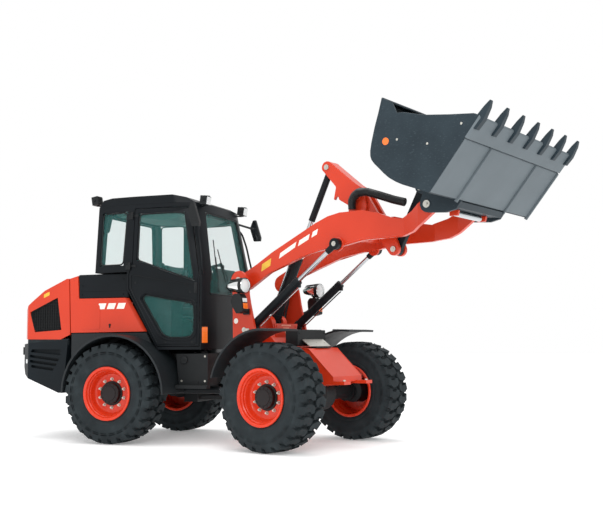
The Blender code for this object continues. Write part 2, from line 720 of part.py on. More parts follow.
def arm_plate(name, side):
    """An arm whose tip bends outwards, towards the bucket's ears."""
    shape = bmesh.new()
    inner = ARM_OUTER - ARM_THICKNESS
    outline = arm_outline()
    low = [shape.verts.new((x, side * inner, z)) for x, z in outline]
    face = shape.faces.new(low)
    grown = bmesh.ops.extrude_face_region(shape, geom=[face])
    moved = [v for v in grown["geom"] if isinstance(v, bmesh.types.BMVert)]
    bmesh.ops.translate(shape, verts=moved, vec=(0, side * ARM_THICKNESS, 0))
    for x in (FLARE_START, FLARE_END):
        everything = shape.verts[:] + shape.edges[:] + shape.faces[:]
        bmesh.ops.bisect_plane(shape, geom=everything, dist=0.00001, plane_co=(x, 0, 0),
                               plane_no=(1, 0, 0))
    for vertex in shape.verts:
        share = (vertex.co.x - FLARE_START) / (FLARE_END - FLARE_START)
        vertex.co.y += side * ARM_FLARE * min(max(share, 0), 1)
    return from_bmesh(name, shape)


def lift_arms():
    """Both arms, the torque tube between them and the plates that hold the bellcrank."""
    inner = ARM_OUTER - ARM_THICKNESS
    made = arm_plate("lift_arms", 1)
    pieces = [arm_plate("arm", -1)]
    pieces.append(across("torque_tube", TORQUE_TUBE, TORQUE_TUBE_RADIUS, -inner - 0.010, inner + 0.010, 20))
    for side in (-1, 1):
        ends = sorted((side * (ARM_OUTER - 0.010), side * (TOWER_INNER - PIN_END_GAP)))
        pieces.append(across("pin", ARM_PIVOT, 0.040, ends[0], ends[1], 16))
    for low, high in ((-BRACKET_OUTER, -BRACKET_INNER), (BRACKET_INNER, BRACKET_OUTER)):
        plate = arc(BELLCRANK_PIVOT, 0.075, 150, 10, 8)
        plate += [(1.620, 2.200), (1.575, 1.960), (1.540, 1.900), (1.430, 1.890), (1.400, 1.960),
                  (1.430, 2.200)]
        pieces.append(prism("bracket", plate, low, high))
        outwards = 0.012 if low > 0 else -0.012
        pieces.append(across("boss", BELLCRANK_PIVOT, 0.045, min(low, low + outwards) + 0.001,
                             max(high, high + outwards) - 0.001, 16))
    return combine(made, pieces)


def bellcrank():
    """Two plates on one hub, open between them for the tilt rod's eye and the link."""
    def eye(point, radius, start, end):
        return arc(point, radius, start, end, 8)

    plate = (eye(BELLCRANK_TOP, 0.058, 200, 30) + [(1.480, 2.420)] + eye(BELLCRANK_PIVOT, 0.085, 60, 10)
             + [(1.760, 2.060), (1.900, 1.900)] + eye(BELLCRANK_LOW, 0.058, 30, -150)
             + [(1.690, 1.950), (1.480, 2.180)] + [(1.300, 2.290), (1.260, 2.420)])
    made = prism("bellcrank", plate, CRANK_INNER, CRANK_OUTER)
    other = prism("plate", plate, -CRANK_OUTER, -CRANK_INNER)
    hub = across("hub", BELLCRANK_PIVOT, 0.062, -CRANK_OUTER - 0.004, CRANK_OUTER + 0.004, 18)
    return combine(made, [other, hub])


def tilt_link():
    """The flat link from the bellcrank's lower eye to the bucket's upper pin."""
    start = Vector((BELLCRANK_LOW[0], 0, BELLCRANK_LOW[1]))
    end = Vector((LINK_TOP[0], 0, LINK_TOP[1]))
    length = (end - start).length
    width = 0.042
    outline = arc((0, 0), 0.052, 60, 300, 8) + [(0.080, -width), (length - 0.080, -width)]
    outline += arc((length, 0), 0.052, -120, 120, 8) + [(length - 0.080, width), (0.080, width)]
    made = prism("tilt_link", outline, -LINK_HALF, LINK_HALF)
    turn = Vector((1, 0, 0)).rotation_difference(end - start).to_matrix().to_4x4()
    return move(made, Matrix.Translation(start) @ turn)


def bucket_back():
    """The bucket's shell seen from the side, from the back's top lip to the cutting edge."""
    return [(2.303, 2.924), (2.232, 2.690), (2.186, 2.500), (2.196, 2.425), (2.261, 2.355),
            (2.359, 2.262), (2.480, 2.195), (2.600, 2.150), (2.713, 2.105), (3.155, 2.649),
            (3.205, 2.700)]


def bucket_mouth():
    return [(3.107, 2.668), (2.678, 2.722), (2.500, 2.785), (2.340, 2.900)]


def bucket():
    """Back, floor and side plates in one shell, with its teeth, ears and coupler plates."""
    side = bucket_back()[:-1] + bucket_mouth()
    made = prism("bucket", side, -BUCKET_HALF_WIDTH, BUCKET_HALF_WIDTH)
    back = inset(bucket_back() + [(3.600, 3.100), (2.700, 3.300)], BUCKET_PLATE)
    room = BUCKET_HALF_WIDTH - BUCKET_PLATE
    cut(made, prism("room", back, -room, room))
    pieces = [prism("edge", [(3.070, 2.545), (3.085, 2.527), (3.210, 2.690), (3.195, 2.702)],
                    -BUCKET_HALF_WIDTH, BUCKET_HALF_WIDTH)]
    step = (2 * BUCKET_HALF_WIDTH - TOOTH_WIDTH) / (TOOTH_COUNT - 1)
    tooth = [(3.120, 2.585), (3.150, 2.570), (3.262, 2.742), (3.256, 2.752), (3.170, 2.690)]
    for i in range(TOOTH_COUNT):
        low = -BUCKET_HALF_WIDTH + i * step
        pieces.append(prism("tooth", tooth, low, low + TOOTH_WIDTH))
    ear = (arc(BUCKET_PIVOT, 0.070, 150, 300, 8) + [(2.640, 2.050), (2.720, 2.120), (2.500, 2.200),
                                                    (2.400, 2.240)])
    ear_inner = ARM_OUTER + ARM_FLARE + EAR_GAP
    ear_outer = ear_inner + EAR_THICKNESS
    for low, high in ((ear_inner, ear_outer), (-ear_outer, -ear_inner)):
        pieces.append(prism("ear", ear, low, high))
    lug = arc(LINK_TOP, 0.060, 60, 270, 8) + [(2.340, 2.200), (2.500, 2.160), (2.400, 2.245),
                                              (2.290, 2.345), (2.225, 2.425)]
    for low, high in ((CRANK_INNER, CRANK_OUTER), (-CRANK_OUTER, -CRANK_INNER)):
        pieces.append(prism("lug", lug, low, high))
    return combine(made, pieces)


def eye_on(made, point, radius, half_width, y):
    """Adds a round eye, its axis along Y, to a cylinder's end."""
    ring = across("eye", point, radius, y - half_width, y + half_width, 16)
    return combine(made, [ring])


def along(start, end, distance):
    start, end = Vector(start), Vector(end)
    return start + (end - start).normalized() * distance


def barrel(name, start, end, radius, length, bore, eye_radius, eye_half, flat_eye=True):
    """A cylinder barrel with its base eye at start and a blind bore from its far end."""
    tip = along(start, end, length)
    foot = along(start, end, eye_radius * 0.4)
    made = rod(name, foot, tip, radius, 16)
    if flat_eye:
        eye_on(made, (start[0], start[2]), eye_radius, eye_half, start[1])
    else:
        low = (start[0], start[1], start[2] - eye_half)
        high = (start[0], start[1], start[2] + eye_half)
        combine(made, [rod("eye", low, high, eye_radius, 16)])
    floor = along(start, end, eye_radius + BORE_FLOOR)
    beyond = along(start, end, length + 0.050)
    return cut(made, rod("bore", floor, beyond, bore, 16))


def lift_cylinder(joints, side, label, dark, chrome):
    """One lift cylinder: its barrel on the frame and its rod, which ends in an eye at the arm."""
    y = side * LIFT_CYLINDER_Y
    base = (LIFT_BASE_PIN[0], y, LIFT_BASE_PIN[1])
    end = (LIFT_ROD_PIN[0], y, LIFT_ROD_PIN[1])
    direction = Vector(end) - Vector(base)
    case = barrel(f"lift_barrel_{label}", base, end, LIFT_BARREL_RADIUS, LIFT_BARREL_LENGTH,
                  LIFT_ROD_RADIUS + ROD_PLAY, 0.042, 0.028)
    inner = along(end, base, LIFT_ROD_LENGTH)
    bar = rod(f"lift_rod_{label}", inner, along(end, base, 0.020), LIFT_ROD_RADIUS, 16)
    eye_on(bar, LIFT_ROD_PIN, 0.046, 0.030, y)
    dress(dark, case)
    dress(chrome, bar)
    joints.add(f"lift_barrel_pivot_{label}", "front_pivot", base, direction)
    joints.add(f"lift_rod_slide_{label}", f"lift_barrel_pivot_{label}", end, direction)
    joints.carry(f"lift_barrel_pivot_{label}", case)
    joints.carry(f"lift_rod_slide_{label}", bar)


def tilt_cylinder(joints, dark, chrome):
    """The tilt cylinder: its barrel, its bright rod and the dark sleeve that ends in its eye."""
    base = (TILT_BASE_PIN[0], 0, TILT_BASE_PIN[1])
    end = (BELLCRANK_TOP[0], 0, BELLCRANK_TOP[1])
    direction = Vector(end) - Vector(base)
    case = barrel("tilt_barrel", base, end, TILT_BARREL_RADIUS, TILT_BARREL_LENGTH,
                  TILT_ROD_RADIUS + ROD_PLAY, 0.056, 0.054)
    reach = direction.length - TILT_SLEEVE_LENGTH + TILT_SLEEVE_OVERLAP
    bar = rod("tilt_rod", along(base, end, TILT_BARREL_LENGTH - TILT_ROD_INSIDE),
              along(base, end, reach), TILT_ROD_RADIUS, 16)
    sleeve = rod("tilt_rod_sleeve", along(end, base, TILT_SLEEVE_LENGTH), along(end, base, 0.020),
                 LINK_HALF + 0.004, 16)
    eye_on(sleeve, BELLCRANK_TOP, 0.046, LINK_HALF, 0)
    cut(sleeve, rod("bore", along(end, base, TILT_SLEEVE_LENGTH + 0.050), along(end, base, 0.060),
                    TILT_ROD_RADIUS + ROD_PLAY, 16))
    dress(dark, case, sleeve)
    dress(chrome, bar)
    joints.add("tilt_barrel_pivot", "front_pivot", base, direction)
    joints.add("tilt_rod_slide", "tilt_barrel_pivot", end, direction)
    joints.add("tilt_sleeve_slide", "tilt_rod_slide", end, direction)
    joints.carry("tilt_barrel_pivot", case)
    joints.carry("tilt_rod_slide", bar)
    joints.carry("tilt_sleeve_slide", sleeve)


def steer_cylinder(joints, side, label, dark, chrome):
    """One steering cylinder, drawn where it lies with the front frame at its rest angle."""
    base = (STEER_REAR_PIN[0], side * STEER_REAR_PIN[1], STEER_PIN_Z)
    straight = Vector((STEER_FRONT_PIN[0], side * STEER_FRONT_PIN[1], STEER_PIN_Z))
    end = Matrix.Rotation(-radians(STEER_REST), 3, "Z") @ straight
    direction = end - Vector(base)
    case = barrel(f"steer_barrel_{label}", base, end, STEER_BARREL_RADIUS, STEER_BARREL_LENGTH,
                  STEER_ROD_RADIUS + ROD_PLAY, 0.034, 0.030, flat_eye=False)
    bar = rod(f"steer_rod_{label}", along(end, base, STEER_ROD_LENGTH), along(end, base, 0.015),
              STEER_ROD_RADIUS, 14)
    low, high = end - Vector((0, 0, 0.026)), end + Vector((0, 0, 0.026))
    combine(bar, [rod("eye", low, high, 0.032, 16)])
    dress(dark, case)
    dress(chrome, bar)
    joints.add(f"steer_barrel_pivot_{label}", "machine", base, direction)
    joints.add(f"steer_rod_slide_{label}", f"steer_barrel_pivot_{label}", end, direction)
    joints.carry(f"steer_barrel_pivot_{label}", case)
    joints.carry(f"steer_rod_slide_{label}", bar)


# ------------------------------------------------------------------ assembly


def build_rear(joints, paint):
    """Everything that the rear frame carries, its doors and hood on their own joints."""
    fixed = []

    def put(material, *pieces):
        dress(paint[material], *pieces)
        fixed.extend(pieces)

    put("charcoal", rear_chassis(), counterweight(), engine_cowl())
    put("black", axle("rear_axle", -WHEEL_REACH))
    put("grey", block("engine_block", (-1.540, -0.225, 0.660), (-0.950, 0.225, 1.250)))
    put("orange", side_panels())
    put("black", rod("exhaust_pipe", (-1.322, 0.000, COWL_TOP + PLATE_GAP), (-1.322, 0.000, 1.782), 0.030))
    guard = rear_fender("rear_fender_right")
    put("charcoal", guard, mirrored(guard, "rear_fender_left"))
    put("charcoal", cab_frame(), cab_roof())
    put("glass", pane("windscreen", windscreen_outline(), (-0.300, 0.200), "X"),
        pane("rear_window", rear_window_outline(), (-1.400, -1.180), "X"))
    quarter = pane("quarter_glass_right", quarter_outline(), (-0.900, -0.300), "Y")
    put("glass", quarter, mirrored(quarter, "quarter_glass_left"))
    put("black", seat(), steering_column())
    box = step_box("step_box_right")
    put("black", box, mirrored(box, "step_box_left"))
    glass = mirror("mirror_right")
    put("black", glass, mirrored(glass, "mirror_left"))
    joints.carry("machine", *fixed)

    low, high = door_hinge_points()
    leaf = door("door_right")
    upper = pane("door_glass_right", upper_door_window(), (-0.900, -0.300), "Y")
    lower = pane("door_low_glass_right", lower_door_window(), (-0.900, -0.300), "Y")
    dress(paint["charcoal"], leaf)
    dress(paint["glass"], upper, lower)
    right = [leaf, upper, lower]
    names = ("door_left", "door_glass_left", "door_low_glass_left")
    left = [mirrored(piece, name) for piece, name in zip(right, names)]
    for label, side, pieces in (("right", -1, right), ("left", 1, left)):
        start = Vector((low[0], side * low[1], low[2]))
        end = Vector((high[0], side * high[1], high[2]))
        joints.add(f"door_hinge_{label}", "machine", start, end - start)
        joints.carry(f"door_hinge_{label}", *pieces)

    cover = engine_hood()
    dress(paint["orange"], cover)
    joints.add("hood_hinge", "machine", (-1.606, 0, 1.632))
    joints.carry("hood_hinge", cover)


def door_hinge_points():
    """Two points on the left door's hinge axis, outside the skin of the cab's middle pillar."""
    points = []
    for z in (1.640, 2.250):
        rear, front = cab_plan(z)[1:3]
        x = -0.862
        share = (x - rear[0]) / (front[0] - rear[0])
        skin = rear[1] + (front[1] - rear[1]) * share
        points.append((x, skin + HINGE_PROUD, z))
    return points


def build_front(joints, paint):
    """The front frame, turned to its rest angle, and what it carries."""
    chassis = front_chassis()
    beam = combine(axle("front_axle", WHEEL_REACH), front_axle_saddle())
    guard = front_fender("front_fender_right")
    lamp = headlamp("headlamp_right")
    box = valve_box()
    fixed = [chassis, beam, guard, mirrored(guard, "front_fender_left"),
             lamp, mirrored(lamp, "headlamp_left"), box]
    cut(chassis, block("slot_a", (WHEEL_REACH - 0.052, 0.253, 0.400), (WHEEL_REACH + 0.052, 0.317, 0.6404)),
        block("slot_b", (WHEEL_REACH - 0.052, -0.317, 0.400), (WHEEL_REACH + 0.052, -0.253, 0.6404)))
    dress(paint["orange"], chassis)
    dress(paint["black"], beam, guard, fixed[3], box)
    dress(paint["silver"], lamp, fixed[5])
    joints.carry("front_pivot", *fixed)


def build_loader(joints, paint):
    """Arms, bellcrank, link, bucket and the cylinders that move them."""
    def on_axis(point):
        return (point[0], 0, point[1])

    joints.add("arm_pivot", "front_pivot", on_axis(ARM_PIVOT))
    joints.add("bucket_pivot", "arm_pivot", on_axis(BUCKET_PIVOT))
    joints.add("bellcrank_pivot", "arm_pivot", on_axis(BELLCRANK_PIVOT))
    joints.add("link_pivot", "bellcrank_pivot", on_axis(BELLCRANK_LOW))
    parts = ((lift_arms(), "orange", "arm_pivot"), (bellcrank(), "orange", "bellcrank_pivot"),
             (tilt_link(), "charcoal", "link_pivot"), (bucket(), "charcoal", "bucket_pivot"))
    for piece, colour, joint in parts:
        dress(paint[colour], piece)
        joints.carry(joint, piece)
    for side, label in ((-1, "right"), (1, "left")):
        lift_cylinder(joints, side, label, paint["black"], paint["chrome"])
    tilt_cylinder(joints, paint["black"], paint["chrome"])


def centre_machine(root):
    """Moves the machine so that the middle of its box, on the ground, is the origin."""
    bpy.context.view_layer.update()
    corners = [thing.matrix_world @ vertex.co for thing in bpy.data.objects if thing.type == "MESH"
               for vertex in thing.data.vertices]
    lows = [min(corner[i] for corner in corners) for i in range(3)]
    highs = [max(corner[i] for corner in corners) for i in range(3)]
    root.location = (-(lows[0] + highs[0]) / 2, -(lows[1] + highs[1]) / 2, -lows[2])


def main():
    clear_scene()
    paint = {
        "orange": finish("orange_paint", ORANGE, 0.35),
        "charcoal": finish("charcoal_paint", CHARCOAL, 0.45),
        "black": finish("black_paint", BLACK, 0.50),
        "rubber": finish("tyre_rubber", BLACK, 0.85),
        "grey": finish("cast_grey", STEEL_GREY, 0.60),
        "silver": finish("lamp_silver", SILVER, 0.25, 0.6),
        "chrome": finish("rod_chrome", SILVER, 0.15, 1.0),
        "glass": finish("tinted_glass", GLASS, 0.05),
    }
    joints = Joints()
    joints.add("front_pivot", "machine", (0, 0, 0))
    bpy.data.objects["front_pivot"].rotation_euler = (0, 0, -radians(STEER_REST))
    build_rear(joints, paint)
    build_front(joints, paint)
    build_loader(joints, paint)
    for side, label in ((-1, "right"), (1, "left")):
        wheel(joints, "machine", f"rear_{label}", -WHEEL_REACH, side, paint["rubber"], paint["orange"])
        wheel(joints, "front_pivot", f"front_{label}", WHEEL_REACH, side, paint["rubber"], paint["orange"])
        steer_cylinder(joints, side, label, paint["black"], paint["chrome"])
    centre_machine(joints.root)


main()
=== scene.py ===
"""A compact articulated wheel loader: its looks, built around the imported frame."""
import json
from math import atan2, cos, pi, radians, sin

import bmesh
import bpy
from mathutils import Matrix, Vector
from mathutils.bvhtree import BVHTree

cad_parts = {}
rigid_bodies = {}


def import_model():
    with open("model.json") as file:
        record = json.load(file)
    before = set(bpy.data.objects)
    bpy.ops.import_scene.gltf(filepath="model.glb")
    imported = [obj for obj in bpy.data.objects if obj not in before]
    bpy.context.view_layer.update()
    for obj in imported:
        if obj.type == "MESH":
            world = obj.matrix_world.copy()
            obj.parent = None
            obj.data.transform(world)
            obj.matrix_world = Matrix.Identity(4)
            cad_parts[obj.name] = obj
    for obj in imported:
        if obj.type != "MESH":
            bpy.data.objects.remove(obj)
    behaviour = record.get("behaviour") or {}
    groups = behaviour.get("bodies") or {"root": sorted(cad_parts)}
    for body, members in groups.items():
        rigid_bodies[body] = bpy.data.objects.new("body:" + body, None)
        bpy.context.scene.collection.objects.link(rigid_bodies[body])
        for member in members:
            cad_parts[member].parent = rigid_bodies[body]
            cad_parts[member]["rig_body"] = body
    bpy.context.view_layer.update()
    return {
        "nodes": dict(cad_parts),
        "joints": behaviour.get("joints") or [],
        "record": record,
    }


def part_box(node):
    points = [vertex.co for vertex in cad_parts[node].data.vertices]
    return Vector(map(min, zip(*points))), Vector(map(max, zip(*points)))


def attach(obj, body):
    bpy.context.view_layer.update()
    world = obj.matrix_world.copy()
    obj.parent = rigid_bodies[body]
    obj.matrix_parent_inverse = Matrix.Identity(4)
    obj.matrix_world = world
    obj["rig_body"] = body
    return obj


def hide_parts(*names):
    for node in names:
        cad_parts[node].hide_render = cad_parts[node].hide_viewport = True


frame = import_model()

# All sizes are in metres, and angles in degrees.
STEER_REST = 15.7            # the front frame stands turned this far to its right
WHEEL_REACH = 0.985          # each axle, out from the steering pivot
TYRE_RADIUS = 0.484
BODY_HALF_WIDTH = 0.620
MERGE = 0.00002              # points closer than this are one point
SIDES = (("right", -1), ("left", 1))

JOINT = {joint["name"]: joint for joint in frame["joints"]}
PIVOT = Vector(JOINT["steer"]["pos_m"])
PIVOT.z = 0.0
REAR = Matrix.Translation(PIVOT)
FRONT = REAR @ Matrix.Rotation(-radians(STEER_REST), 4, "Z")
TO_WORLD = {"rear": REAR, "front": FRONT}


# ------------------------------------------------------------------ colours and materials


def linear(code):
    """A colour given as an sRGB hex code, as linear RGBA."""
    channels = [int(code[i:i + 2], 16) / 255 for i in (1, 3, 5)]
    return tuple(c / 12.92 if c <= 0.04045 else ((c + 0.055) / 1.055) ** 2.4 for c in channels) + (1.0,)


def add(tree, kind, values=None, feeds=None, **attributes):
    """Adds a shader node with its attributes, its sockets' values and the links that feed it."""
    node = tree.nodes.new("ShaderNode" + kind)
    for name, value in attributes.items():
        setattr(node, name, value)
    for socket, value in (values or {}).items():
        node.inputs[socket].default_value = value
    for socket, source in (feeds or {}).items():
        tree.links.new(source, node.inputs[socket])
    return node


def new_finish(name, colour, roughness, **sockets):
    """A Principled material. Returns the material, its tree and its shader."""
    material = bpy.data.materials.new(name)
    material.use_nodes = True
    tree = material.node_tree
    shader = tree.nodes["Principled BSDF"]
    shader.inputs["Base Color"].default_value = linear(colour)
    shader.inputs["Roughness"].default_value = roughness
    for socket, value in sockets.items():
        shader.inputs[socket.replace("_", " ")].default_value = value
    return material, tree, shader


def grain(tree, millimetres, detail=2.0, stretch=(1, 1, 1)):
    """Noise on object coordinates whose features are the given size."""
    place = add(tree, "TexCoord")
    scaled = add(tree, "Mapping", {"Scale": stretch}, {"Vector": place.outputs["Object"]})
    return add(tree, "TexNoise", {"Scale": 1000.0 / millimetres, "Detail": detail},
               {"Vector": scaled.outputs["Vector"]})


def tint(tree, source, stops):
    """Colours along a value from 0 to 1."""
    ramp = add(tree, "ValToRGB", None, {"Fac": source})
    bar = ramp.color_ramp
    while len(bar.elements) < len(stops):
        bar.elements.new(0.5)
    for element, (place, code) in zip(bar.elements, stops):
        element.position = place
        element.color = linear(code)
    return ramp.outputs["Color"]


def roughen(tree, shader, source, millimetres, strength=1.0):
    """Bumps the surface by a pattern that is this deep."""
    bump = add(tree, "Bump", {"Strength": strength, "Distance": millimetres / 1000.0}, {"Height": source})
    tree.links.new(bump.outputs["Normal"], shader.inputs["Normal"])


def vary_roughness(tree, shader, source, low, high):
    """Lets a pattern move the roughness between two values."""
    spread = add(tree, "MapRange", {"To Min": low, "To Max": high}, {"Value": source})
    tree.links.new(spread.outputs["Result"], shader.inputs["Roughness"])


def baked_enamel(name, code, shade, roughness=0.30):
    """Baked enamel on pressed steel: an even colour, a clear gloss and a faint orange peel."""
    material, tree, shader = new_finish(name, code, roughness, Coat_Weight=0.15, Coat_Roughness=0.14,
                                        Specular_IOR_Level=0.35)
    drift = grain(tree, 420.0, 3.0)
    colour = tint(tree, drift.outputs["Fac"], [(0.30, shade), (0.70, code)])
    tree.links.new(colour, shader.inputs["Base Color"])
    peel = grain(tree, 9.0)
    roughen(tree, shader, peel.outputs["Fac"], 0.35, 0.35)
    haze = grain(tree, 60.0, 4.0)
    vary_roughness(tree, shader, haze.outputs["Fac"], roughness - 0.06, roughness + 0.10)
    return material


def textured_paint(name, code, shade, roughness=0.48):
    """Textured charcoal powder coat: a fine even grain that breaks up the gloss."""
    material, tree, shader = new_finish(name, code, roughness, Specular_IOR_Level=0.14)
    drift = grain(tree, 300.0, 3.0)
    colour = tint(tree, drift.outputs["Fac"], [(0.30, shade), (0.72, code)])
    tree.links.new(colour, shader.inputs["Base Color"])
    pebble = grain(tree, 3.5)
    roughen(tree, shader, pebble.outputs["Fac"], 0.30, 0.45)
    vary_roughness(tree, shader, drift.outputs["Fac"], roughness - 0.08, roughness + 0.08)
    return material


def moulded_plastic(name, code, roughness=0.55):
    """Black moulded polypropylene: a leathery grain a few millimetres across."""
    material, tree, shader = new_finish(name, code, roughness, Specular_IOR_Level=0.30)
    place = add(tree, "TexCoord")
    cells = add(tree, "TexVoronoi", {"Scale": 240.0}, {"Vector": place.outputs["Object"]})
    roughen(tree, shader, cells.outputs["Distance"], 0.5, 0.35)
    haze = grain(tree, 80.0, 4.0)
    vary_roughness(tree, shader, haze.outputs["Fac"], roughness - 0.08, roughness + 0.10)
    return material


def tyre_rubber():
    """Vulcanised rubber with carbon black: matt, a little dusty, with fine flow marks."""
    material, tree, shader = new_finish("vulcanised_rubber", "#22282b", 0.78, Specular_IOR_Level=0.22)
    dust = grain(tree, 130.0, 5.0)
    colour = tint(tree, dust.outputs["Fac"], [(0.32, "#1e2427"), (0.56, "#252c2f"), (0.78, "#30383b")])
    tree.links.new(colour, shader.inputs["Base Color"])
    skin = grain(tree, 6.0, 4.0)
    roughen(tree, shader, skin.outputs["Fac"], 0.8, 0.5)
    return material


def bucket_steel():
    """Wear plate in satin charcoal paint, scuffed in fine streaks where loads slide."""
    material, tree, shader = new_finish("painted_wear_plate", "#28343b", 0.46, Specular_IOR_Level=0.22)
    cloud = grain(tree, 260.0, 5.0)
    base = tint(tree, cloud.outputs["Fac"], [(0.30, "#212c33"), (0.70, "#2a363d")])
    streak = grain(tree, 40.0, 6.0, (0.35, 6.0, 6.0))
    mask = add(tree, "MapRange", {"From Min": 0.60, "From Max": 0.74}, {"Value": streak.outputs["Fac"]})
    mixed = add(tree, "MixRGB", {"Color2": linear("#3d494f")},
                {"Fac": mask.outputs["Result"], "Color1": base})
    tree.links.new(mixed.outputs["Color"], shader.inputs["Base Color"])
    peel = grain(tree, 8.0, 3.0)
    roughen(tree, shader, peel.outputs["Fac"], 0.4, 0.4)
    vary_roughness(tree, shader, streak.outputs["Fac"], 0.36, 0.58)
    return material


def painted_casting(name, code, roughness=0.55):
    """Sand-cast iron under chassis paint: a coarse soft grain and a dull shine."""
    material, tree, shader = new_finish(name, code, roughness, Specular_IOR_Level=0.30)
    sand = grain(tree, 5.0, 4.0)
    roughen(tree, shader, sand.outputs["Fac"], 1.0, 0.45)
    vary_roughness(tree, shader, sand.outputs["Fac"], roughness - 0.12, roughness + 0.12)
    return material


def plated_steel(name, code, roughness, streak=(1, 1, 1), millimetres=6.0):
    """Bare or plated steel: metallic, with fine lines along the stretch of its grain."""
    material, tree, shader = new_finish(name, code, roughness, Metallic=1.0)
    lines = grain(tree, millimetres, 4.0, streak)
    vary_roughness(tree, shader, lines.outputs["Fac"], roughness - 0.06, roughness + 0.12)
    roughen(tree, shader, lines.outputs["Fac"], 0.05, 0.25)
    return material


def tempered_glass():
    """Tempered cab glass with a faint green tint: nearly clear, sharp in its reflections."""
    material, tree, shader = new_finish("tempered_glass", "#5aa9a4", 0.03, Transmission_Weight=0.0, IOR=1.5)
    smear = grain(tree, 240.0, 3.0)
    vary_roughness(tree, shader, smear.outputs["Fac"], 0.02, 0.06)
    shader.inputs["Alpha"].default_value = 0.09
    return material


def corrugated_sleeve():
    """Nylon conduit over the hoses: black, with ribs moulded around it."""
    material, tree, shader = new_finish("nylon_conduit", "#101214", 0.46)
    rib = grain(tree, 14.0, 2.0)
    roughen(tree, shader, rib.outputs["Fac"], 1.0, 0.5)
    return material


def hose_rubber():
    """Hydraulic hose: black rubber with the print of the cloth it was cured in."""
    material, tree, shader = new_finish("hydraulic_hose", "#131517", 0.52)
    wrap = grain(tree, 2.5, 2.0, (1, 1, 3))
    roughen(tree, shader, wrap.outputs["Fac"], 0.4, 0.5)
    return material


def seat_cloth():
    """Woven polyester over foam: threads 1.5 mm apart, drawn at 5 mm so that they show."""
    material, tree, shader = new_finish("woven_seat_cloth", "#24282c", 0.9, Sheen_Weight=0.35)
    place = add(tree, "TexCoord")
    threads = []
    for axis in ("X", "Z"):
        threads.append(add(tree, "TexWave", {"Scale": 31.0, "Distortion": 0.6},
                           {"Vector": place.outputs["Object"]}, bands_direction=axis))
    cross = add(tree, "Math", None, {0: threads[0].outputs["Fac"], 1: threads[1].outputs["Fac"]},
                operation="MULTIPLY")
    colour = tint(tree, cross.outputs["Value"], [(0.0, "#1b1f22"), (1.0, "#33383d")])
    tree.links.new(colour, shader.inputs["Base Color"])
    roughen(tree, shader, cross.outputs["Value"], 0.8, 0.6)
    return material


def headliner():
    """Grey-green needle felt that lines the roof."""
    material, tree, shader = new_finish("needle_felt", "#56716d", 0.95)
    fibre = grain(tree, 4.0, 5.0)
    colour = tint(tree, fibre.outputs["Fac"], [(0.3, "#4b6662"), (0.7, "#5f7b76")])
    tree.links.new(colour, shader.inputs["Base Color"])
    roughen(tree, shader, fibre.outputs["Fac"], 0.6, 0.6)
    return material


def moulded_lens(name, code, alpha=1.0, pitch=12.0):
    """Polycarbonate lens with prism lines moulded into it."""
    material, tree, shader = new_finish(name, code, 0.12, Coat_Weight=0.6, Coat_Roughness=0.05)
    place = add(tree, "TexCoord")
    prisms = add(tree, "TexWave", {"Scale": 157.0 / pitch}, {"Vector": place.outputs["Object"]},
                 bands_direction="Z")
    roughen(tree, shader, prisms.outputs["Fac"], 1.2, 0.6)
    shader.inputs["Alpha"].default_value = alpha
    return material


def printed_vinyl(name, code, shade):
    """Vinyl label: satin, with the slight fading of a print."""
    material, tree, shader = new_finish(name, code, 0.38)
    fade = grain(tree, 60.0, 3.0)
    colour = tint(tree, fade.outputs["Fac"], [(0.35, shade), (0.65, code)])
    tree.links.new(colour, shader.inputs["Base Color"])
    return material


ORANGE = baked_enamel("orange_baked_enamel", "#cf3a1c", "#c63518")
RIM_ORANGE = baked_enamel("rim_baked_enamel", "#dc3a1a", "#cc3014", 0.26)
CHARCOAL = textured_paint("charcoal_powder_coat", "#161d22", "#12181c")
CAB_BLACK = textured_paint("cab_powder_coat", "#14181c", "#101417", 0.42)
PLASTIC = moulded_plastic("moulded_polypropylene", "#141719")
FENDER = moulded_plastic("moulded_fender", "#1c2124", 0.50)
RUBBER = tyre_rubber()
BUCKET = bucket_steel()
# The underside's grey is painted light: the bucket's own charcoal paint, lightened to stand for the light
# that the floor throws up onto it.
UNDERSIDE = textured_paint("underside_grey_painted_floor_light", "#687176", "#60696e", 0.5)
CASTING = painted_casting("painted_cast_iron", "#101315")
HUB_BLACK = painted_casting("painted_hub", "#181213", 0.45)
CHROME = plated_steel("hard_chrome", "#b9bdc0", 0.16, (6, 1, 1))
ZINC = plated_steel("zinc_plate", "#c9c7bf", 0.34)
BARREL_BLACK = textured_paint("cylinder_paint", "#1a1e21", "#15181b", 0.40)
GLASS = tempered_glass()
SLEEVE = corrugated_sleeve()
HOSE = hose_rubber()
CLOTH = seat_cloth()
FELT = headliner()
AMBER = moulded_lens("amber_lens", "#f0701c")
RED_LENS = moulded_lens("red_lens", "#a8140e")
CLEAR_LENS = moulded_lens("clear_lens", "#d8dcdc")
REFLECTOR = plated_steel("aluminised_reflector", "#e2e4e4", 0.10)
MIRROR_FACE = plated_steel("silvered_glass", "#dfe3e4", 0.03)
YELLOW_LABEL = printed_vinyl("yellow_vinyl", "#e6b93e", "#d8aa30")
WHITE_LABEL = printed_vinyl("white_vinyl", "#f1ebe4", "#e6ded5")
PALE_LABEL = printed_vinyl("pale_orange_vinyl", "#e89a80", "#de8c70")
# Near-black sheets behind the hood's grilles: painted shade, standing in for the dark engine bay behind the
# mesh.
GRILLE_SHADE_BACKING = moulded_plastic("grille_backing_painted_shade", "#0b0d0e", 0.6)

BY_SLOT = {
    "tyre_rubber": RUBBER, "rim_orange": RIM_ORANGE, "orange_paint": ORANGE, "charcoal_paint": CHARCOAL,
    "tinted_glass": GLASS, "black_plastic": PLASTIC, "bucket_steel": BUCKET, "dark_casting": CASTING,
    "seat_fabric": CLOTH, "lamp_silver": REFLECTOR, "chrome_rod": CHROME, "cylinder_black": BARREL_BLACK,
}


# ------------------------------------------------------------------ shaping pieces


def verts_of(made):
    """The vertices among what an operator has made."""
    return [item for item in made.get("geom", made.get("verts", [])) if isinstance(item, bmesh.types.BMVert)]


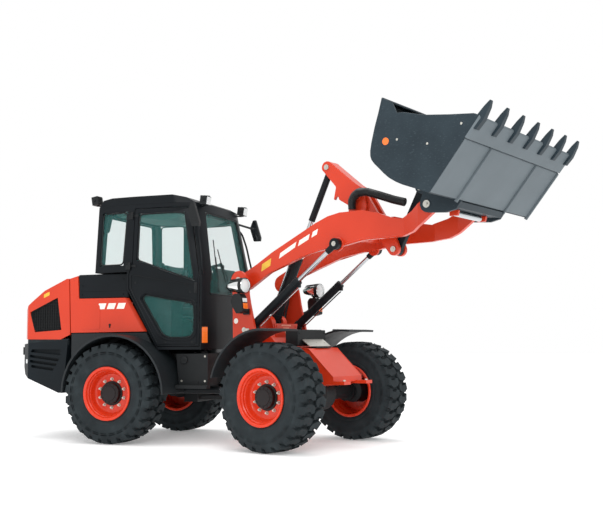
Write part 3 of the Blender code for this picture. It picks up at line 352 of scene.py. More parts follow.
def box_into(shape, low, high, turn=None):
    """A box between two corners, turned about its own middle by the matrix."""
    made = bmesh.ops.create_cube(shape, size=1.0)
    size = [b - a for a, b in zip(low, high)]
    middle = Vector([(a + b) / 2 for a, b in zip(low, high)])
    bmesh.ops.scale(shape, vec=size, verts=made["verts"])
    if turn:
        bmesh.ops.transform(shape, matrix=turn, verts=made["verts"])
    bmesh.ops.translate(shape, vec=middle, verts=made["verts"])
    return made["verts"]


def plate_into(shape, outline, low, high, axis="Y"):
    """A plate cut to an outline. The axis is the one that its thickness lies along."""
    def point(a, b):
        return {"Y": (a, low, b), "X": (low, a, b), "Z": (a, b, low)}[axis]

    face = shape.faces.new([shape.verts.new(point(a, b)) for a, b in outline])
    grown = bmesh.ops.extrude_face_region(shape, geom=[face])
    lift = {"Y": (0, high - low, 0), "X": (high - low, 0, 0), "Z": (0, 0, high - low)}[axis]
    moved = verts_of(grown)
    bmesh.ops.translate(shape, vec=lift, verts=moved)
    made = list(face.verts) + moved
    faces = {f for v in made for f in v.link_faces}
    bmesh.ops.recalc_face_normals(shape, faces=list(faces))
    return made


def frame_along(start, end):
    """A matrix that takes +Z at the origin to the line from start to end."""
    start, end = Vector(start), Vector(end)
    turn = (end - start).to_track_quat("Z", "Y").to_matrix().to_4x4()
    return Matrix.Translation(start) @ turn


def bar_into(shape, start, end, radius, sides=20, end_radius=None):
    """A round bar or a cone between two points."""
    length = (Vector(end) - Vector(start)).length
    made = bmesh.ops.create_cone(shape, cap_ends=True, segments=sides, radius1=radius,
                                 radius2=radius if end_radius is None else end_radius, depth=length)
    bmesh.ops.translate(shape, vec=(0, 0, length / 2), verts=made["verts"])
    bmesh.ops.transform(shape, matrix=frame_along(start, end), verts=made["verts"])
    return made["verts"]


def turned_into(shape, profile, start, end, steps=48):
    """A profile of (radius, distance) points spun about the line from start towards end."""
    chain = [shape.verts.new((radius, 0, distance)) for radius, distance in profile]
    edges = [shape.edges.new(pair) for pair in zip(chain, chain[1:])]
    before = set(shape.verts)
    bmesh.ops.spin(shape, geom=chain + edges, cent=(0, 0, 0), axis=(0, 0, 1), angle=2 * pi,
                   steps=steps, use_merge=True)
    made = [v for v in shape.verts if v not in before] + [v for v in chain if v.is_valid]
    made = list(dict.fromkeys(made))
    bmesh.ops.remove_doubles(shape, verts=made, dist=MERGE)
    made = [v for v in made if v.is_valid]
    faces = list({f for v in made for f in v.link_faces})
    bmesh.ops.recalc_face_normals(shape, faces=faces)
    bmesh.ops.transform(shape, matrix=frame_along(start, end), verts=made)
    return made


def hex_into(shape, place, outwards, radius, height):
    """A hexagon nut or bolt head with its washer, standing on a face."""
    place, outwards = Vector(place), Vector(outwards).normalized()
    bar_into(shape, place, place + outwards * height * 0.25, radius * 1.25, 16)
    bar_into(shape, place + outwards * height * 0.25, place + outwards * height, radius, 6, radius * 0.94)


def dome_into(shape, place, outwards, radius):
    """A round rivet or button head."""
    place, outwards = Vector(place), Vector(outwards).normalized()
    bar_into(shape, place, place + outwards * radius * 0.30, radius, 12, radius * 0.92)
    bar_into(shape, place + outwards * radius * 0.30, place + outwards * radius * 0.55, radius * 0.92, 12,
             radius * 0.50)


def pipe_into(shape, points, radius, sides=10, smooth=True):
    """A tube along the points, on a smooth or a straight-sided path."""
    curve = bpy.data.curves.new("path", "CURVE")
    curve.dimensions = "3D"
    curve.bevel_depth = radius
    curve.bevel_resolution = max(sides // 4 - 1, 1)
    curve.use_fill_caps = True
    curve.resolution_u = 8
    spline = curve.splines.new("BEZIER")
    spline.bezier_points.add(len(points) - 1)
    for knot, point in zip(spline.bezier_points, points):
        knot.co = point
        knot.handle_left_type = knot.handle_right_type = "AUTO" if smooth else "VECTOR"
    carrier = bpy.data.objects.new("path", curve)
    bpy.context.scene.collection.objects.link(carrier)
    mesh = mesh_of(carrier)
    shape.from_mesh(mesh)
    bpy.data.objects.remove(carrier)
    bpy.data.curves.remove(curve)
    bpy.data.meshes.remove(mesh)


def bevel(shape, edges, width, segments):
    """Rounds these edges of a shape."""
    bmesh.ops.bevel(shape, geom=edges, offset=width, offset_type="OFFSET", affect="EDGES",
                    segments=segments, profile=0.5, material=-1, clamp_overlap=True)


def round_edges(shape, width, segments=2, angle=28):
    """Bevels every edge that is sharper than the angle."""
    bevel(shape, [edge for edge in shape.edges
                  if len(edge.link_faces) == 2 and edge.calc_face_angle(0) > radians(angle)], width, segments)


def mirror_into(shape):
    """Adds the other side's copy, mirrored in the middle plane."""
    copied = bmesh.ops.duplicate(shape, geom=shape.verts[:] + shape.edges[:] + shape.faces[:])
    faces = [item for item in copied["geom"] if isinstance(item, bmesh.types.BMFace)]
    bmesh.ops.scale(shape, vec=(1, -1, 1), verts=verts_of(copied))
    bmesh.ops.reverse_faces(shape, faces=faces)


def object_from(shape, name):
    """An object made from a shape, which is used up."""
    mesh = bpy.data.meshes.new(name)
    shape.to_mesh(mesh)
    shape.free()
    made = bpy.data.objects.new(name, mesh)
    bpy.context.scene.collection.objects.link(made)
    return made


def mesh_of(thing):
    """The mesh that an object's modifiers or curve make."""
    bpy.context.view_layer.update()
    return bpy.data.meshes.new_from_object(thing.evaluated_get(bpy.context.evaluated_depsgraph_get()))


def place_piece(shape, name, material, body, where="rear", crease=32, weighted=True):
    """Turns a shape into a piece of the machine, in its place, riding on a body."""
    matrix = TO_WORLD.get(where) if isinstance(where, str) else where
    if matrix is not None:
        bmesh.ops.transform(shape, matrix=matrix, verts=shape.verts)
    piece = object_from(shape, name)
    piece.data.materials.append(material)
    piece.data.shade_smooth()
    piece.data.set_sharp_from_angle(angle=radians(crease))
    if weighted:
        even = piece.modifiers.new("even_shading", "WEIGHTED_NORMAL")
        even.keep_sharp = True
    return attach(piece, body)


def body_of_node(node):
    """The moving body that a CAD piece belongs to."""
    return frame["nodes"][node]["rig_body"]


def carve(shape, cutter):
    """The shape with the cutter's solids taken out of it. Both are used up."""
    body, tool = object_from(shape, "carved"), object_from(cutter, "cutter")
    step = body.modifiers.new("carve", "BOOLEAN")
    step.operation, step.solver, step.object = "DIFFERENCE", "EXACT", tool
    made = mesh_of(body)
    left = bmesh.new()
    left.from_mesh(made)
    for thing in (body, tool):
        bpy.data.objects.remove(thing, do_unlink=True)
    bpy.data.meshes.remove(made)
    return left


def merged_copy(node):
    """A CAD piece's mesh with its doubles merged and its flat faces joined."""
    shape = bmesh.new()
    shape.from_mesh(frame["nodes"][node].data)
    bmesh.ops.remove_doubles(shape, verts=shape.verts, dist=MERGE)
    bmesh.ops.dissolve_limit(shape, angle_limit=radians(1.0), verts=shape.verts, edges=shape.edges)
    return shape


def softened(node, material, width, segments=2, angle=28, crease=60, cutter=None, first=None):
    """A copy of a CAD piece, cut and with its edges rounded, which stands in its place."""
    shape = merged_copy(node)
    if cutter:
        bmesh.ops.transform(cutter, matrix=REAR, verts=cutter.verts)
        shape = carve(shape, cutter)
        bmesh.ops.dissolve_limit(shape, angle_limit=radians(1.0), verts=shape.verts, edges=shape.edges)
    if first:
        first(shape)
    round_edges(shape, width, segments, angle)
    piece = place_piece(shape, node + "_panel", material, body_of_node(node), None, crease)
    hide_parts(node)
    return piece


def skin_of(node):
    """A lookup of where lines meet a CAD piece's surface."""
    shape = bmesh.new()
    shape.from_mesh(frame["nodes"][node].data)
    skin = BVHTree.FromBMesh(shape)
    shape.free()
    return skin


def on_skin(skin, start, towards):
    """Where a line first meets the skin, in the rear frame's own coordinates, and its normal there."""
    place, normal = skin.ray_cast(REAR @ Vector(start), REAR.to_3x3() @ Vector(towards).normalized())[:2]
    back = REAR.inverted()
    return back @ place, (back.to_3x3() @ normal).normalized()


# ------------------------------------------------------------------ wheels


LUGS = 27                    # tread blocks round each side of a tyre
GROOVE_RADIUS = 0.452        # the carcass between the blocks
HALF_TYRE = 0.190            # half the tyre's width, before its bulge is held in
TREAD_LIMIT = 0.1875         # how far out from the middle plane the tyre may reach


def crown(y):
    """The tread's radius at a distance from the tyre's middle plane."""
    share = abs(y) / HALF_TYRE
    return TYRE_RADIUS - 0.010 * share ** 2 - 0.030 * max(share - 0.78, 0) ** 2 * 20


def tread_block(shape, outline, side, skew):
    """One block: an outline of (along the tread, across it), raised and bent round the tyre."""
    made = plate_into(shape, [(u, side * v) for u, v in outline], 0.0, 1.0, "Z")
    for cut_at in (0.060, 0.120, 0.162):
        around = {f for v in made if v.is_valid for f in v.link_faces}
        geometry = list(around) + list({e for f in around for e in f.edges})
        geometry += list({v for f in around for v in f.verts})
        cut = bmesh.ops.bisect_plane(shape, geom=geometry, dist=0.00001, plane_co=(0, side * cut_at, 0),
                                     plane_no=(0, 1, 0))
        made += [v for v in cut["geom_cut"] if isinstance(v, bmesh.types.BMVert)]
    made = list(dict.fromkeys(v for v in made if v.is_valid))
    for vertex in made:
        u, v, top = vertex.co
        edge = max(abs(v) - 0.158, 0) / 0.032
        low = GROOVE_RADIUS - 0.004 - 0.085 * edge ** 1.3
        high = crown(v) - 0.050 * edge ** 1.6
        spread = 1.0 + 0.10 * (1 - top)
        middle = 0.038
        angle = (middle + (u - middle) * spread + skew) / TYRE_RADIUS
        radius = low + (high - low) * top
        vertex.co = (radius * cos(angle), v * (1.0 if top > 0.5 else 1.012), radius * sin(angle))
    return made


def hold_in(shape):
    """Keeps the tyre within its own radius and width."""
    for vertex in shape.verts:
        reach = Vector((vertex.co.x, vertex.co.z)).length
        if reach > TYRE_RADIUS:
            vertex.co.x *= TYRE_RADIUS / reach
            vertex.co.z *= TYRE_RADIUS / reach
        vertex.co.y = min(max(vertex.co.y, -TREAD_LIMIT), TREAD_LIMIT)


def tyre():
    """A wide low tyre: the carcass is turned, and the blocks of its tread are bent round it."""
    shape = bmesh.new()
    half = HALF_TYRE
    side = [(0.2455, half - 0.032), (0.262, half - 0.030), (0.272, half - 0.022), (0.283, half - 0.0175),
            (0.290, half - 0.0155), (0.297, half - 0.0170), (0.318, half - 0.0075), (0.345, half - 0.0035),
            (0.372, half - 0.0030), (0.376, half - 0.0010), (0.382, half - 0.0010), (0.386, half - 0.0032),
            (0.405, half - 0.0045), (0.424, half - 0.0110), (0.440, half - 0.0260), (0.450, half - 0.0520),
            (GROOVE_RADIUS, 0.080), (GROOVE_RADIUS + 0.002, 0.030)]
    profile = side + [(radius, -y) for radius, y in reversed(side)]
    turned_into(shape, profile + [profile[0]], (0, 0, 0), (0, 1, 0), 96)
    shoulder = [(0.004, 0.026), (0.030, 0.004), (0.066, 0.012), (0.071, 0.046), (0.050, 0.074),
                (0.052, 0.104), (0.080, 0.134), (0.082, 0.190), (0.012, 0.190), (0.008, 0.140),
                (-0.012, 0.112), (-0.010, 0.070)]
    pitch = 2 * pi * TYRE_RADIUS / LUGS
    for direction, skew in ((1, 0.0), (-1, pitch / 2)):
        block = bmesh.new()
        tread_block(block, shoulder, direction, skew)
        round_edges(block, 0.0035, 1, 50)
        bmesh.ops.spin(block, geom=block.verts[:] + block.edges[:] + block.faces[:], cent=(0, 0, 0),
                       axis=(0, 1, 0), angle=2 * pi * (LUGS - 1) / LUGS, steps=LUGS - 1, use_duplicate=True)
        mesh = bpy.data.meshes.new("blocks")
        block.to_mesh(mesh)
        block.free()
        shape.from_mesh(mesh)
        bpy.data.meshes.remove(mesh)
    bmesh.ops.recalc_face_normals(shape, faces=shape.faces[:])
    hold_in(shape)
    return shape


def rim_profile():
    """The pressed barrel and dished disc, from the outer flange round to the inner one."""
    half = 0.177
    return [(0.112, 0.068), (0.150, 0.064), (0.176, 0.060), (0.190, 0.066), (0.199, 0.082), (0.204, 0.104),
            (0.2065, 0.118), (0.2125, 0.124), (0.2150, 0.128), (0.2170, 0.144), (0.2235, 0.150),
            (0.2265, 0.154), (0.2290, half - 0.008), (0.2360, half - 0.002), (0.2480, half + 0.002),
            (0.2550, half + 0.001), (0.2580, half - 0.004), (0.2580, half - 0.010), (0.2530, half - 0.014),
            (0.2435, half - 0.018), (0.2435, 0.060), (0.2300, 0.020), (0.2300, -0.060), (0.2435, -0.100),
            (0.2435, 0.018 - half), (0.2530, 0.014 - half), (0.2580, 0.010 - half), (0.2580, 0.004 - half),
            (0.2480, -0.002 - half), (0.2330, 0.002 - half), (0.2270, -0.120), (0.2180, -0.060),
            (0.2120, 0.030), (0.170, 0.046), (0.112, 0.048), (0.112, 0.068)]


def wheel_frame(joint, side):
    """The wheel's own frame: +Y points away from the machine."""
    place = Matrix.Translation(Vector(joint["pos_m"]))
    axis = Vector(joint["axis"])
    turn = atan2(-axis.x, axis.y)
    place = place @ Matrix.Rotation(turn, 4, "Z")
    return place if side > 0 else place @ Matrix.Rotation(pi, 4, "Z")


def wheel(label, side):
    """Tyre, rim, hub and nuts of one wheel, on the axle's end."""
    joint = JOINT["roll_" + label]
    place = wheel_frame(joint, side)
    body = "wheel_" + label
    tread = place_piece(tyre(), "tyre_tread_" + label, RUBBER, body, place, 34, weighted=False)
    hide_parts("tyre_" + label)

    shape = bmesh.new()
    turned_into(shape, rim_profile(), (0, 0, 0), (0, 1, 0), 72)
    disc = place_piece(shape, "rim_pressing_" + label, RIM_ORANGE, body, place, 40)
    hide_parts("rim_" + label)

    shape = bmesh.new()
    hub = [(0.0, 0.131), (0.052, 0.131), (0.070, 0.129), (0.073, 0.124), (0.094, 0.122), (0.099, 0.117),
           (0.101, 0.080), (0.116, 0.077), (0.118, 0.072), (0.118, 0.036), (0.0, 0.036)]
    turned_into(shape, hub, (0, 0, 0), (0, 1, 0), 48)
    for i in range(12):
        angle = 2 * pi * i / 12
        hex_into(shape, (0.0845 * cos(angle), 0.121, 0.0845 * sin(angle)), (0, 1, 0), 0.0062, 0.007)
    place_piece(shape, "hub_" + label, HUB_BLACK, body, place, 40)

    shape = bmesh.new()
    for i in range(10):
        angle = 2 * pi * (i + 0.5) / 10
        point = Vector((0.137 * cos(angle), 0.064, 0.137 * sin(angle)))
        hex_into(shape, point, (0, 1, 0), 0.0125, 0.020)
        bar_into(shape, point + Vector((0, 0.018, 0)), point + Vector((0, 0.030, 0)), 0.0070, 12)
    place_piece(shape, "wheel_nuts_" + label, ZINC, body, place, 40)


for axle_end in ("rear_", "front_"):
    for side_name, side_sign in SIDES:
        wheel(axle_end + side_name, side_sign)


# ------------------------------------------------------------------ bucket


BUCKET_HALF = 0.935
FLOOR_HEEL = Vector((2.713, 0, 2.105))       # where the bucket's floor starts
FLOOR_RISE = radians(50.9)                   # how far the floor leans up at rest
BUCKET_SHELL = [(2.303, 2.922), (2.268, 2.800), (2.232, 2.690), (2.200, 2.570), (2.187, 2.500),
                (2.187, 2.458), (2.198, 2.425), (2.225, 2.390), (2.261, 2.355), (2.310, 2.305),
                (2.359, 2.262), (2.420, 2.224), (2.480, 2.195), (2.600, 2.150), (2.713, 2.105)]


def on_floor(along, y, out):
    """A point of the bucket's underside: along the floor, across it and outwards from it."""
    run = Vector((cos(FLOOR_RISE), 0, sin(FLOOR_RISE)))
    outwards = Vector((sin(FLOOR_RISE), 0, -cos(FLOOR_RISE)))
    return FLOOR_HEEL + run * along + outwards * out + Vector((0, y, 0))


def floor_plate(shape, start, end, low, high, thickness, inside=0.004):
    """A flat plate on the bucket's underside, with its front edge chamfered."""
    outline = [on_floor(start, 0, -inside), on_floor(start, 0, thickness - 0.003),
               on_floor(start + 0.004, 0, thickness), on_floor(end - 0.010, 0, thickness),
               on_floor(end, 0, thickness * 0.3), on_floor(end, 0, -inside)]
    return plate_into(shape, [(p.x, p.z) for p in outline], low, high)


def offset_inwards(points, amount):
    """The line moved to its right-hand side by the amount."""
    moved = []
    for i, point in enumerate(points):
        before = points[max(i - 1, 0)]
        after = points[min(i + 1, len(points) - 1)]
        run = Vector((after[0] - before[0], after[1] - before[1])).normalized()
        moved.append((point[0] - run.y * amount, point[1] + run.x * amount))
    return moved


def bucket_tooth(shape, y):
    """A cast tooth: a shank welded over the edge that tapers to its point."""
    outline = [(0.585, -0.012), (0.600, 0.040), (0.690, 0.046), (0.790, 0.028), (0.838, 0.006),
               (0.838, -0.004), (0.770, -0.016), (0.640, -0.026)]
    points = [on_floor(s, 0, out) for s, out in outline]
    made = plate_into(shape, [(p.x, p.z) for p in points], -0.030, 0.030)
    tip = on_floor(0.838, 0, 0)
    for vertex in made:
        reach = (vertex.co - tip).length
        vertex.co.y *= 0.62 + 0.38 * min(reach / 0.150, 1.0)
    bmesh.ops.translate(shape, vec=(0, y, 0), verts=made)


def bucket():
    """The bucket as it is welded up: wrapped shell, side plates, edge, teeth and wear strips."""
    shape = bmesh.new()
    floor_end = on_floor(0.690, 0, 0)
    outside = BUCKET_SHELL + [(floor_end.x, floor_end.z)]
    inside = offset_inwards(outside, 0.018)
    plate_into(shape, outside + inside[::-1], 0.006 - BUCKET_HALF, BUCKET_HALF - 0.006)
    guard = [(2.303, 2.922), (2.312, 2.916), (2.405, 2.868), (2.399, 2.856), (2.296, 2.900)]
    plate_into(shape, guard, 0.010 - BUCKET_HALF, BUCKET_HALF - 0.010)
    round_edges(shape, 0.003, 1, 40)
    shell = place_piece(shape, "bucket_shell", BUCKET, "bucket", "front", 40)
    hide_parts("bucket")

    shape = bmesh.new()
    side = BUCKET_SHELL + [(floor_end.x, floor_end.z), (3.128, 2.664), (3.107, 2.672), (2.900, 2.694),
                           (2.678, 2.724), (2.500, 2.772), (2.440, 2.776), (2.404, 2.858), (2.316, 2.914)]
    plate_into(shape, side, -BUCKET_HALF, 0.016 - BUCKET_HALF)
    doubler = [(2.980, 2.678), (3.112, 2.662), (3.128, 2.640), (3.020, 2.500), (2.960, 2.560)]
    plate_into(shape, doubler, 0.0015 - BUCKET_HALF, 0.030 - BUCKET_HALF)
    round_edges(shape, 0.003, 1, 40)
    mirror_into(shape)
    place_piece(shape, "bucket_side_plates", BUCKET, "bucket", "front", 40)

    shape = bmesh.new()
    for low, high in ((0.010 - BUCKET_HALF, -0.492), (-0.474, 0.409), (0.427, 0.906)):
        floor_plate(shape, 0.010, 0.498, low, high, 0.007)
    floor_plate(shape, 0.505, 0.700, -BUCKET_HALF, BUCKET_HALF, 0.020)
    round_edges(shape, 0.0025, 1, 40)
    # The floor plates take the underside grey, which is painted floor light.
    place_piece(shape, "bucket_floor_plates", UNDERSIDE, "bucket", "front", 40)

    shape = bmesh.new()
    for y in (-0.483, 0.418, 0.917):
        floor_plate(shape, -0.012, 0.503, y - 0.008, y + 0.008, 0.026)
    round_edges(shape, 0.003, 1, 40)
    # The wear strips take the same underside grey with painted floor light.
    place_piece(shape, "bucket_wear_strips", UNDERSIDE, "bucket", "front", 40)

    shape = bmesh.new()
    for i in range(7):
        bucket_tooth(shape, -0.905 + i * 0.3017)
    round_edges(shape, 0.003, 1, 40)
    place_piece(shape, "bucket_teeth", BUCKET, "bucket", "front", 40)

    shape = bmesh.new()
    ear = [(2.358, 2.140), (2.352, 2.100), (2.366, 2.062), (2.396, 2.040), (2.440, 2.032), (2.600, 2.020),
           (2.690, 2.040), (2.735, 2.100), (2.700, 2.118), (2.590, 2.160), (2.480, 2.205), (2.400, 2.245)]
    for low in (0.397, -0.431):
        plate_into(shape, ear, low, low + 0.034)
    lug = [(2.118, 2.290), (2.105, 2.325), (2.118, 2.358), (2.148, 2.376), (2.185, 2.382), (2.225, 2.425),
           (2.290, 2.345), (2.400, 2.245), (2.500, 2.170), (2.340, 2.190), (2.230, 2.240), (2.160, 2.262)]
    for low in (0.040, -0.074):
        plate_into(shape, lug, low, low + 0.034)
    box_into(shape, (2.470, -0.400, 2.105), (2.500, 0.400, 2.190))
    plate_into(shape, [(2.560, 2.055), (2.700, 2.050), (2.728, 2.098), (2.590, 2.150)], -0.400, 0.400)
    round_edges(shape, 0.004, 2, 40)
    place_piece(shape, "bucket_coupler", BUCKET, "bucket", "front", 40)

    shape = bmesh.new()
    for side in (-1, 1):
        for point in ((2.710, 2.491), (3.004, 2.607), (2.440, 2.560)):
            dome_into(shape, (point[0], side * BUCKET_HALF, point[1]), (0, side, 0), 0.010)
        bar_into(shape, (2.420, side * 0.386, 2.105), (2.420, side * 0.441, 2.105), 0.032, 24)
        hex_into(shape, (2.420, side * 0.441, 2.105), (0, side, 0), 0.014, 0.010)
    bar_into(shape, (2.160, -0.082, 2.320), (2.160, 0.082, 2.320), 0.028, 24)
    place_piece(shape, "bucket_pins", ZINC, "bucket", "front", 40)

    shape = bmesh.new()
    bar_into(shape, (2.600, -0.300, 2.028), (2.600, 0.180, 2.028), 0.026, 24)
    place_piece(shape, "coupler_locking_pin", CHROME, "bucket", "front", 40)
    shape = bmesh.new()
    for y in (-0.287, 0.230):
        plate_into(shape, [(2.560, 2.004), (2.636, 2.004), (2.648, 2.050), (2.560, 2.066)],
                   y - 0.016, y + 0.016)
    round_edges(shape, 0.005, 2, 40)
    place_piece(shape, "coupler_hooks", ORANGE, "bucket", "front", 40)

    shape = bmesh.new()
    bar_into(shape, (2.334, -BUCKET_HALF, 2.559), (2.334, -BUCKET_HALF - 0.0005, 2.559), 0.030, 32)
    place_piece(shape, "bucket_side_reflector", AMBER, "bucket", "front", 40)


# ------------------------------------------------------------------ arms and linkage


ARM_OUTER = 0.298            # the arms' outer faces, out from the middle


def label_on(outline, y, name, material):
    """A flat label on the arm's face that looks to the machine's right."""
    shape = bmesh.new()
    plate_into(shape, outline, y - 0.0008, y + 0.0002)
    place_piece(shape, name, material, "lift_arm", "front", 40)


def slanted(x, z, length, height, lean, rise):
    """A leaning bar along a line that climbs by the rise."""
    top = lean * height
    return [(x, z), (x + length, z + rise * length), (x + length + top, z + rise * length + height),
            (x + top, z + height)]


def arms():
    """The arms with their edge strips, pin bosses, labels and pins."""
    softened("lift_arms", ORANGE, 0.006, 2, 24)
    low = [(1.000, 1.748), (1.340, 1.820), (1.516, 1.836), (1.708, 1.868), (1.932, 1.868), (2.070, 1.870)]
    strip = low + [(x, z + 0.012) for x, z in low[::-1]]
    for label, side in SIDES:
        shape = bmesh.new()
        y = side * ARM_OUTER
        plate_into(shape, strip, *sorted((y - side * 0.002, y + side * 0.006)))
        bar_into(shape, (1.439, y - side * 0.002, 1.843), (1.439, y + side * 0.016, 1.843), 0.062, 28)
        round_edges(shape, 0.003, 1, 40)
        place_piece(shape, "arm_edge_strip_" + label, ORANGE, "lift_arm", "front", 40)
    label_on(slanted(0.545, 1.640, 0.110, 0.070, 0.15, 0.47), -ARM_OUTER, "arm_label", YELLOW_LABEL)
    for name, x, z, length, rise in (("long", 0.760, 1.752, 0.190, 0.50),
                                     ("middle", 0.985, 1.856, 0.120, 0.45),
                                     ("short", 1.140, 1.925, 0.060, 0.42)):
        label_on(slanted(x, z, length, 0.052, 0.30, rise), -ARM_OUTER, "arm_stripe_" + name, WHITE_LABEL)

    shape = bmesh.new()
    for side in (-1, 1):
        bar_into(shape, (1.518, side * 0.108, 2.303), (1.518, side * 0.128, 2.303), 0.030, 24)
        hex_into(shape, (1.518, side * 0.128, 2.303), (0, side, 0), 0.012, 0.010)
        bar_into(shape, (1.439, side * 0.300, 1.843), (1.439, side * 0.381, 1.843), 0.021, 24)
        hex_into(shape, (1.439, side * 0.3765, 1.843), (0, side, 0), 0.011, 0.008)
    place_piece(shape, "arm_pins", ZINC, "lift_arm", "front", 40)


def linkage():
    """The bellcrank with its webs and pins, and the link to the bucket."""
    softened("bellcrank", ORANGE, 0.005, 2, 24)
    shape = bmesh.new()
    hook = [(1.262, 2.415), (1.237, 2.300), (1.247, 2.292), (1.262, 2.318), (1.300, 2.330), (1.330, 2.322),
            (1.420, 2.290), (1.400, 2.380), (1.330, 2.430)]
    for low in (0.040, -0.072):
        plate_into(shape, hook, low, low + 0.032)
    edge = [(1.190, 2.665), (1.480, 2.424), (1.560, 2.372), (1.590, 2.330), (1.582, 2.322), (1.550, 2.360),
            (1.474, 2.412), (1.184, 2.652)]
    plate_into(shape, edge, -0.070, 0.070)
    round_edges(shape, 0.004, 2, 40)
    place_piece(shape, "bellcrank_webs", ORANGE, "bellcrank", "front", 40)
    shape = bmesh.new()
    for x, z in ((1.162, 2.613), (1.880, 1.789)):
        for side in (-1, 1):
            bar_into(shape, (x, side * 0.072, z), (x, side * 0.086, z), 0.026, 24)
            bar_into(shape, (x, side * 0.086, z), (x, side * 0.090, z), 0.010, 16)
    place_piece(shape, "bellcrank_pins", ZINC, "bellcrank", "front", 40)
    softened("tilt_link", CHARCOAL, 0.005)


def cylinder_trim(base, tip, radius, length, rod_radius, body, outward):
    """Gland, ports, clamp and pipe on a cylinder's barrel, in front-frame coordinates."""
    base, tip = Vector(base), Vector(tip)
    run = (tip - base).normalized()
    shape = bmesh.new()
    gland = [(rod_radius + 0.0015, length + 0.004), (radius * 0.80, length + 0.004),
             (radius + 0.0015, length - 0.004), (radius + 0.0015, length - 0.050),
             (radius + 0.001, length - 0.056), (radius - 0.002, length - 0.056)]
    turned_into(shape, gland, base, tip, 40)
    turned_into(shape, [(radius - 0.002, 0.075), (radius + 0.004, 0.075), (radius + 0.004, 0.105),
                        (radius - 0.002, 0.105)], base, tip, 40)
    side = Vector(outward).normalized()
    for distance in (0.090, length - 0.028):
        port = base + run * distance
        box_into(shape, port + side * (radius + 0.004) - Vector((0.014, 0.014, 0.014)),
                 port + side * (radius + 0.004) + Vector((0.014, 0.014, 0.014)))
    round_edges(shape, 0.0015, 1, 50)
    place_piece(shape, body + "_gland", BARREL_BLACK, body, "front", 40)

    shape = bmesh.new()
    low = base + run * 0.100 + side * (radius + 0.018)
    high = base + run * (length - 0.040) + side * (radius + 0.018)
    pipe_into(shape, [base + run * 0.090 + side * radius, low, low + run * 0.030, high - run * 0.030, high,
                      base + run * (length - 0.028) + side * radius], 0.0065, 12)
    place_piece(shape, body + "_pipe", CHROME, body, "front", 40, weighted=False)


def rod_eye(joint_point, towards, body, half, radius=0.047):
    """The forged eye at a rod's end, with its neck."""
    point, towards = Vector(joint_point), Vector(towards)
    run = (towards - point).normalized()
    shape = bmesh.new()
    profile = [(radius * 0.50, -half - 0.001), (radius + 0.002, -half - 0.001),
               (radius + 0.005, 0.006 - half),
               (radius + 0.005, half - 0.006), (radius + 0.002, half + 0.001), (radius * 0.50, half + 0.001)]
    turned_into(shape, profile, point, point + Vector((0, 1, 0)), 40)
    neck = point + run * radius * 0.8
    bar_into(shape, neck, neck + run * 0.075, 0.031, 28, 0.027)
    round_edges(shape, 0.002, 1, 50)
    place_piece(shape, body + "_eye", BARREL_BLACK, body, "front", 40)


def cylinders():
    """Trim on the lift cylinders, which stand on both sides, and on the tilt cylinder between them."""
    for label, side in SIDES:
        base, tip = (0.433, side * 0.346, 1.085), (1.439, side * 0.346, 1.843)
        run = Vector((tip[0] - base[0], 0, tip[2] - base[2])).normalized()
        under = (run.z, 0, -run.x)
        cylinder_trim(base, tip, 0.040, 0.742, 0.020, "lift_barrel_" + label, under)
        rod_eye(tip, base, "lift_rod_" + label, 0.030)
    base, tip = (0.460, 0, 1.150), (1.162, 0, 2.613)
    run = Vector((tip[0] - base[0], 0, tip[2] - base[2])).normalized()
    cylinder_trim(base, tip, 0.052, 0.700, 0.0225, "tilt_barrel", (-run.z, 0, run.x))


CONDUIT_RIBS = 64


def hoses():
    """The ribbed conduit from the bellcrank's pivot to the coupler."""
    shape = bmesh.new()
    path = [(1.500, -0.160, 2.170), (1.505, -0.165, 2.260), (1.560, -0.165, 2.318), (1.660, -0.160, 2.318),
            (1.800, -0.150, 2.270), (1.930, -0.140, 2.222), (2.040, -0.130, 2.190)]
    pipe_into(shape, path, 0.034, 16)
    place_piece(shape, "coupler_hose_conduit", SLEEVE, "lift_arm", "front", 40, weighted=False)
    shape = bmesh.new()
    points = [Vector(p) for p in path]
    lengths = [(b - a).length for a, b in zip(points, points[1:])]
    whole = sum(lengths)
    for i in range(CONDUIT_RIBS):
        reach = whole * (i + 0.5) / CONDUIT_RIBS
        for start, end, length in zip(points, points[1:], lengths):
            if reach <= length:
                middle = start.lerp(end, reach / length)
                rib = [(0.0335, -0.0035), (0.0375, -0.002), (0.0375, 0.002), (0.0335, 0.0035)]
                turned_into(shape, rib, middle, middle + (end - start), 20)
                break
            reach -= length
    place_piece(shape, "coupler_hose_ribs", SLEEVE, "lift_arm", "front", 40, weighted=False)


bucket()
arms()
linkage()
cylinders()
hoses()


# ------------------------------------------------------------------ rear body


def rounded(points, radius, steps=4):
    """An outline with its corners rounded."""
    made = []
    for i, corner in enumerate(points):
        before, after = Vector(points[i - 1]), Vector(points[(i + 1) % len(points)])
        corner = Vector(corner)
        back, on = (before - corner).normalized(), (after - corner).normalized()
        reach = min(radius, (before - corner).length / 2.2, (after - corner).length / 2.2)
        start, end = corner + back * reach, corner + on * reach
        for k in range(steps + 1):
            t = k / steps
            made.append(tuple(start * (1 - t) ** 2 + corner * 2 * t * (1 - t) + end * t ** 2))
    return made


def side_plate(shape, outline, face_y, proud):
    """A plate on the machine's flank, the same on each side."""
    for side in (-1, 1):
        low, high = sorted((side * face_y, side * (face_y + proud)))
        plate_into(shape, outline, low, high)


def loop_pipe(shape, points, radius):
    """A bead that runs round a closed outline."""
    pipe_into(shape, points + [points[0]], radius, 8, smooth=False)


def vent_outline():
    """The four-sided air inlet in the hood's flank."""
    return rounded([(-2.065, 1.287), (-1.732, 1.432), (-1.682, 1.102), (-2.003, 1.082)], 0.050)


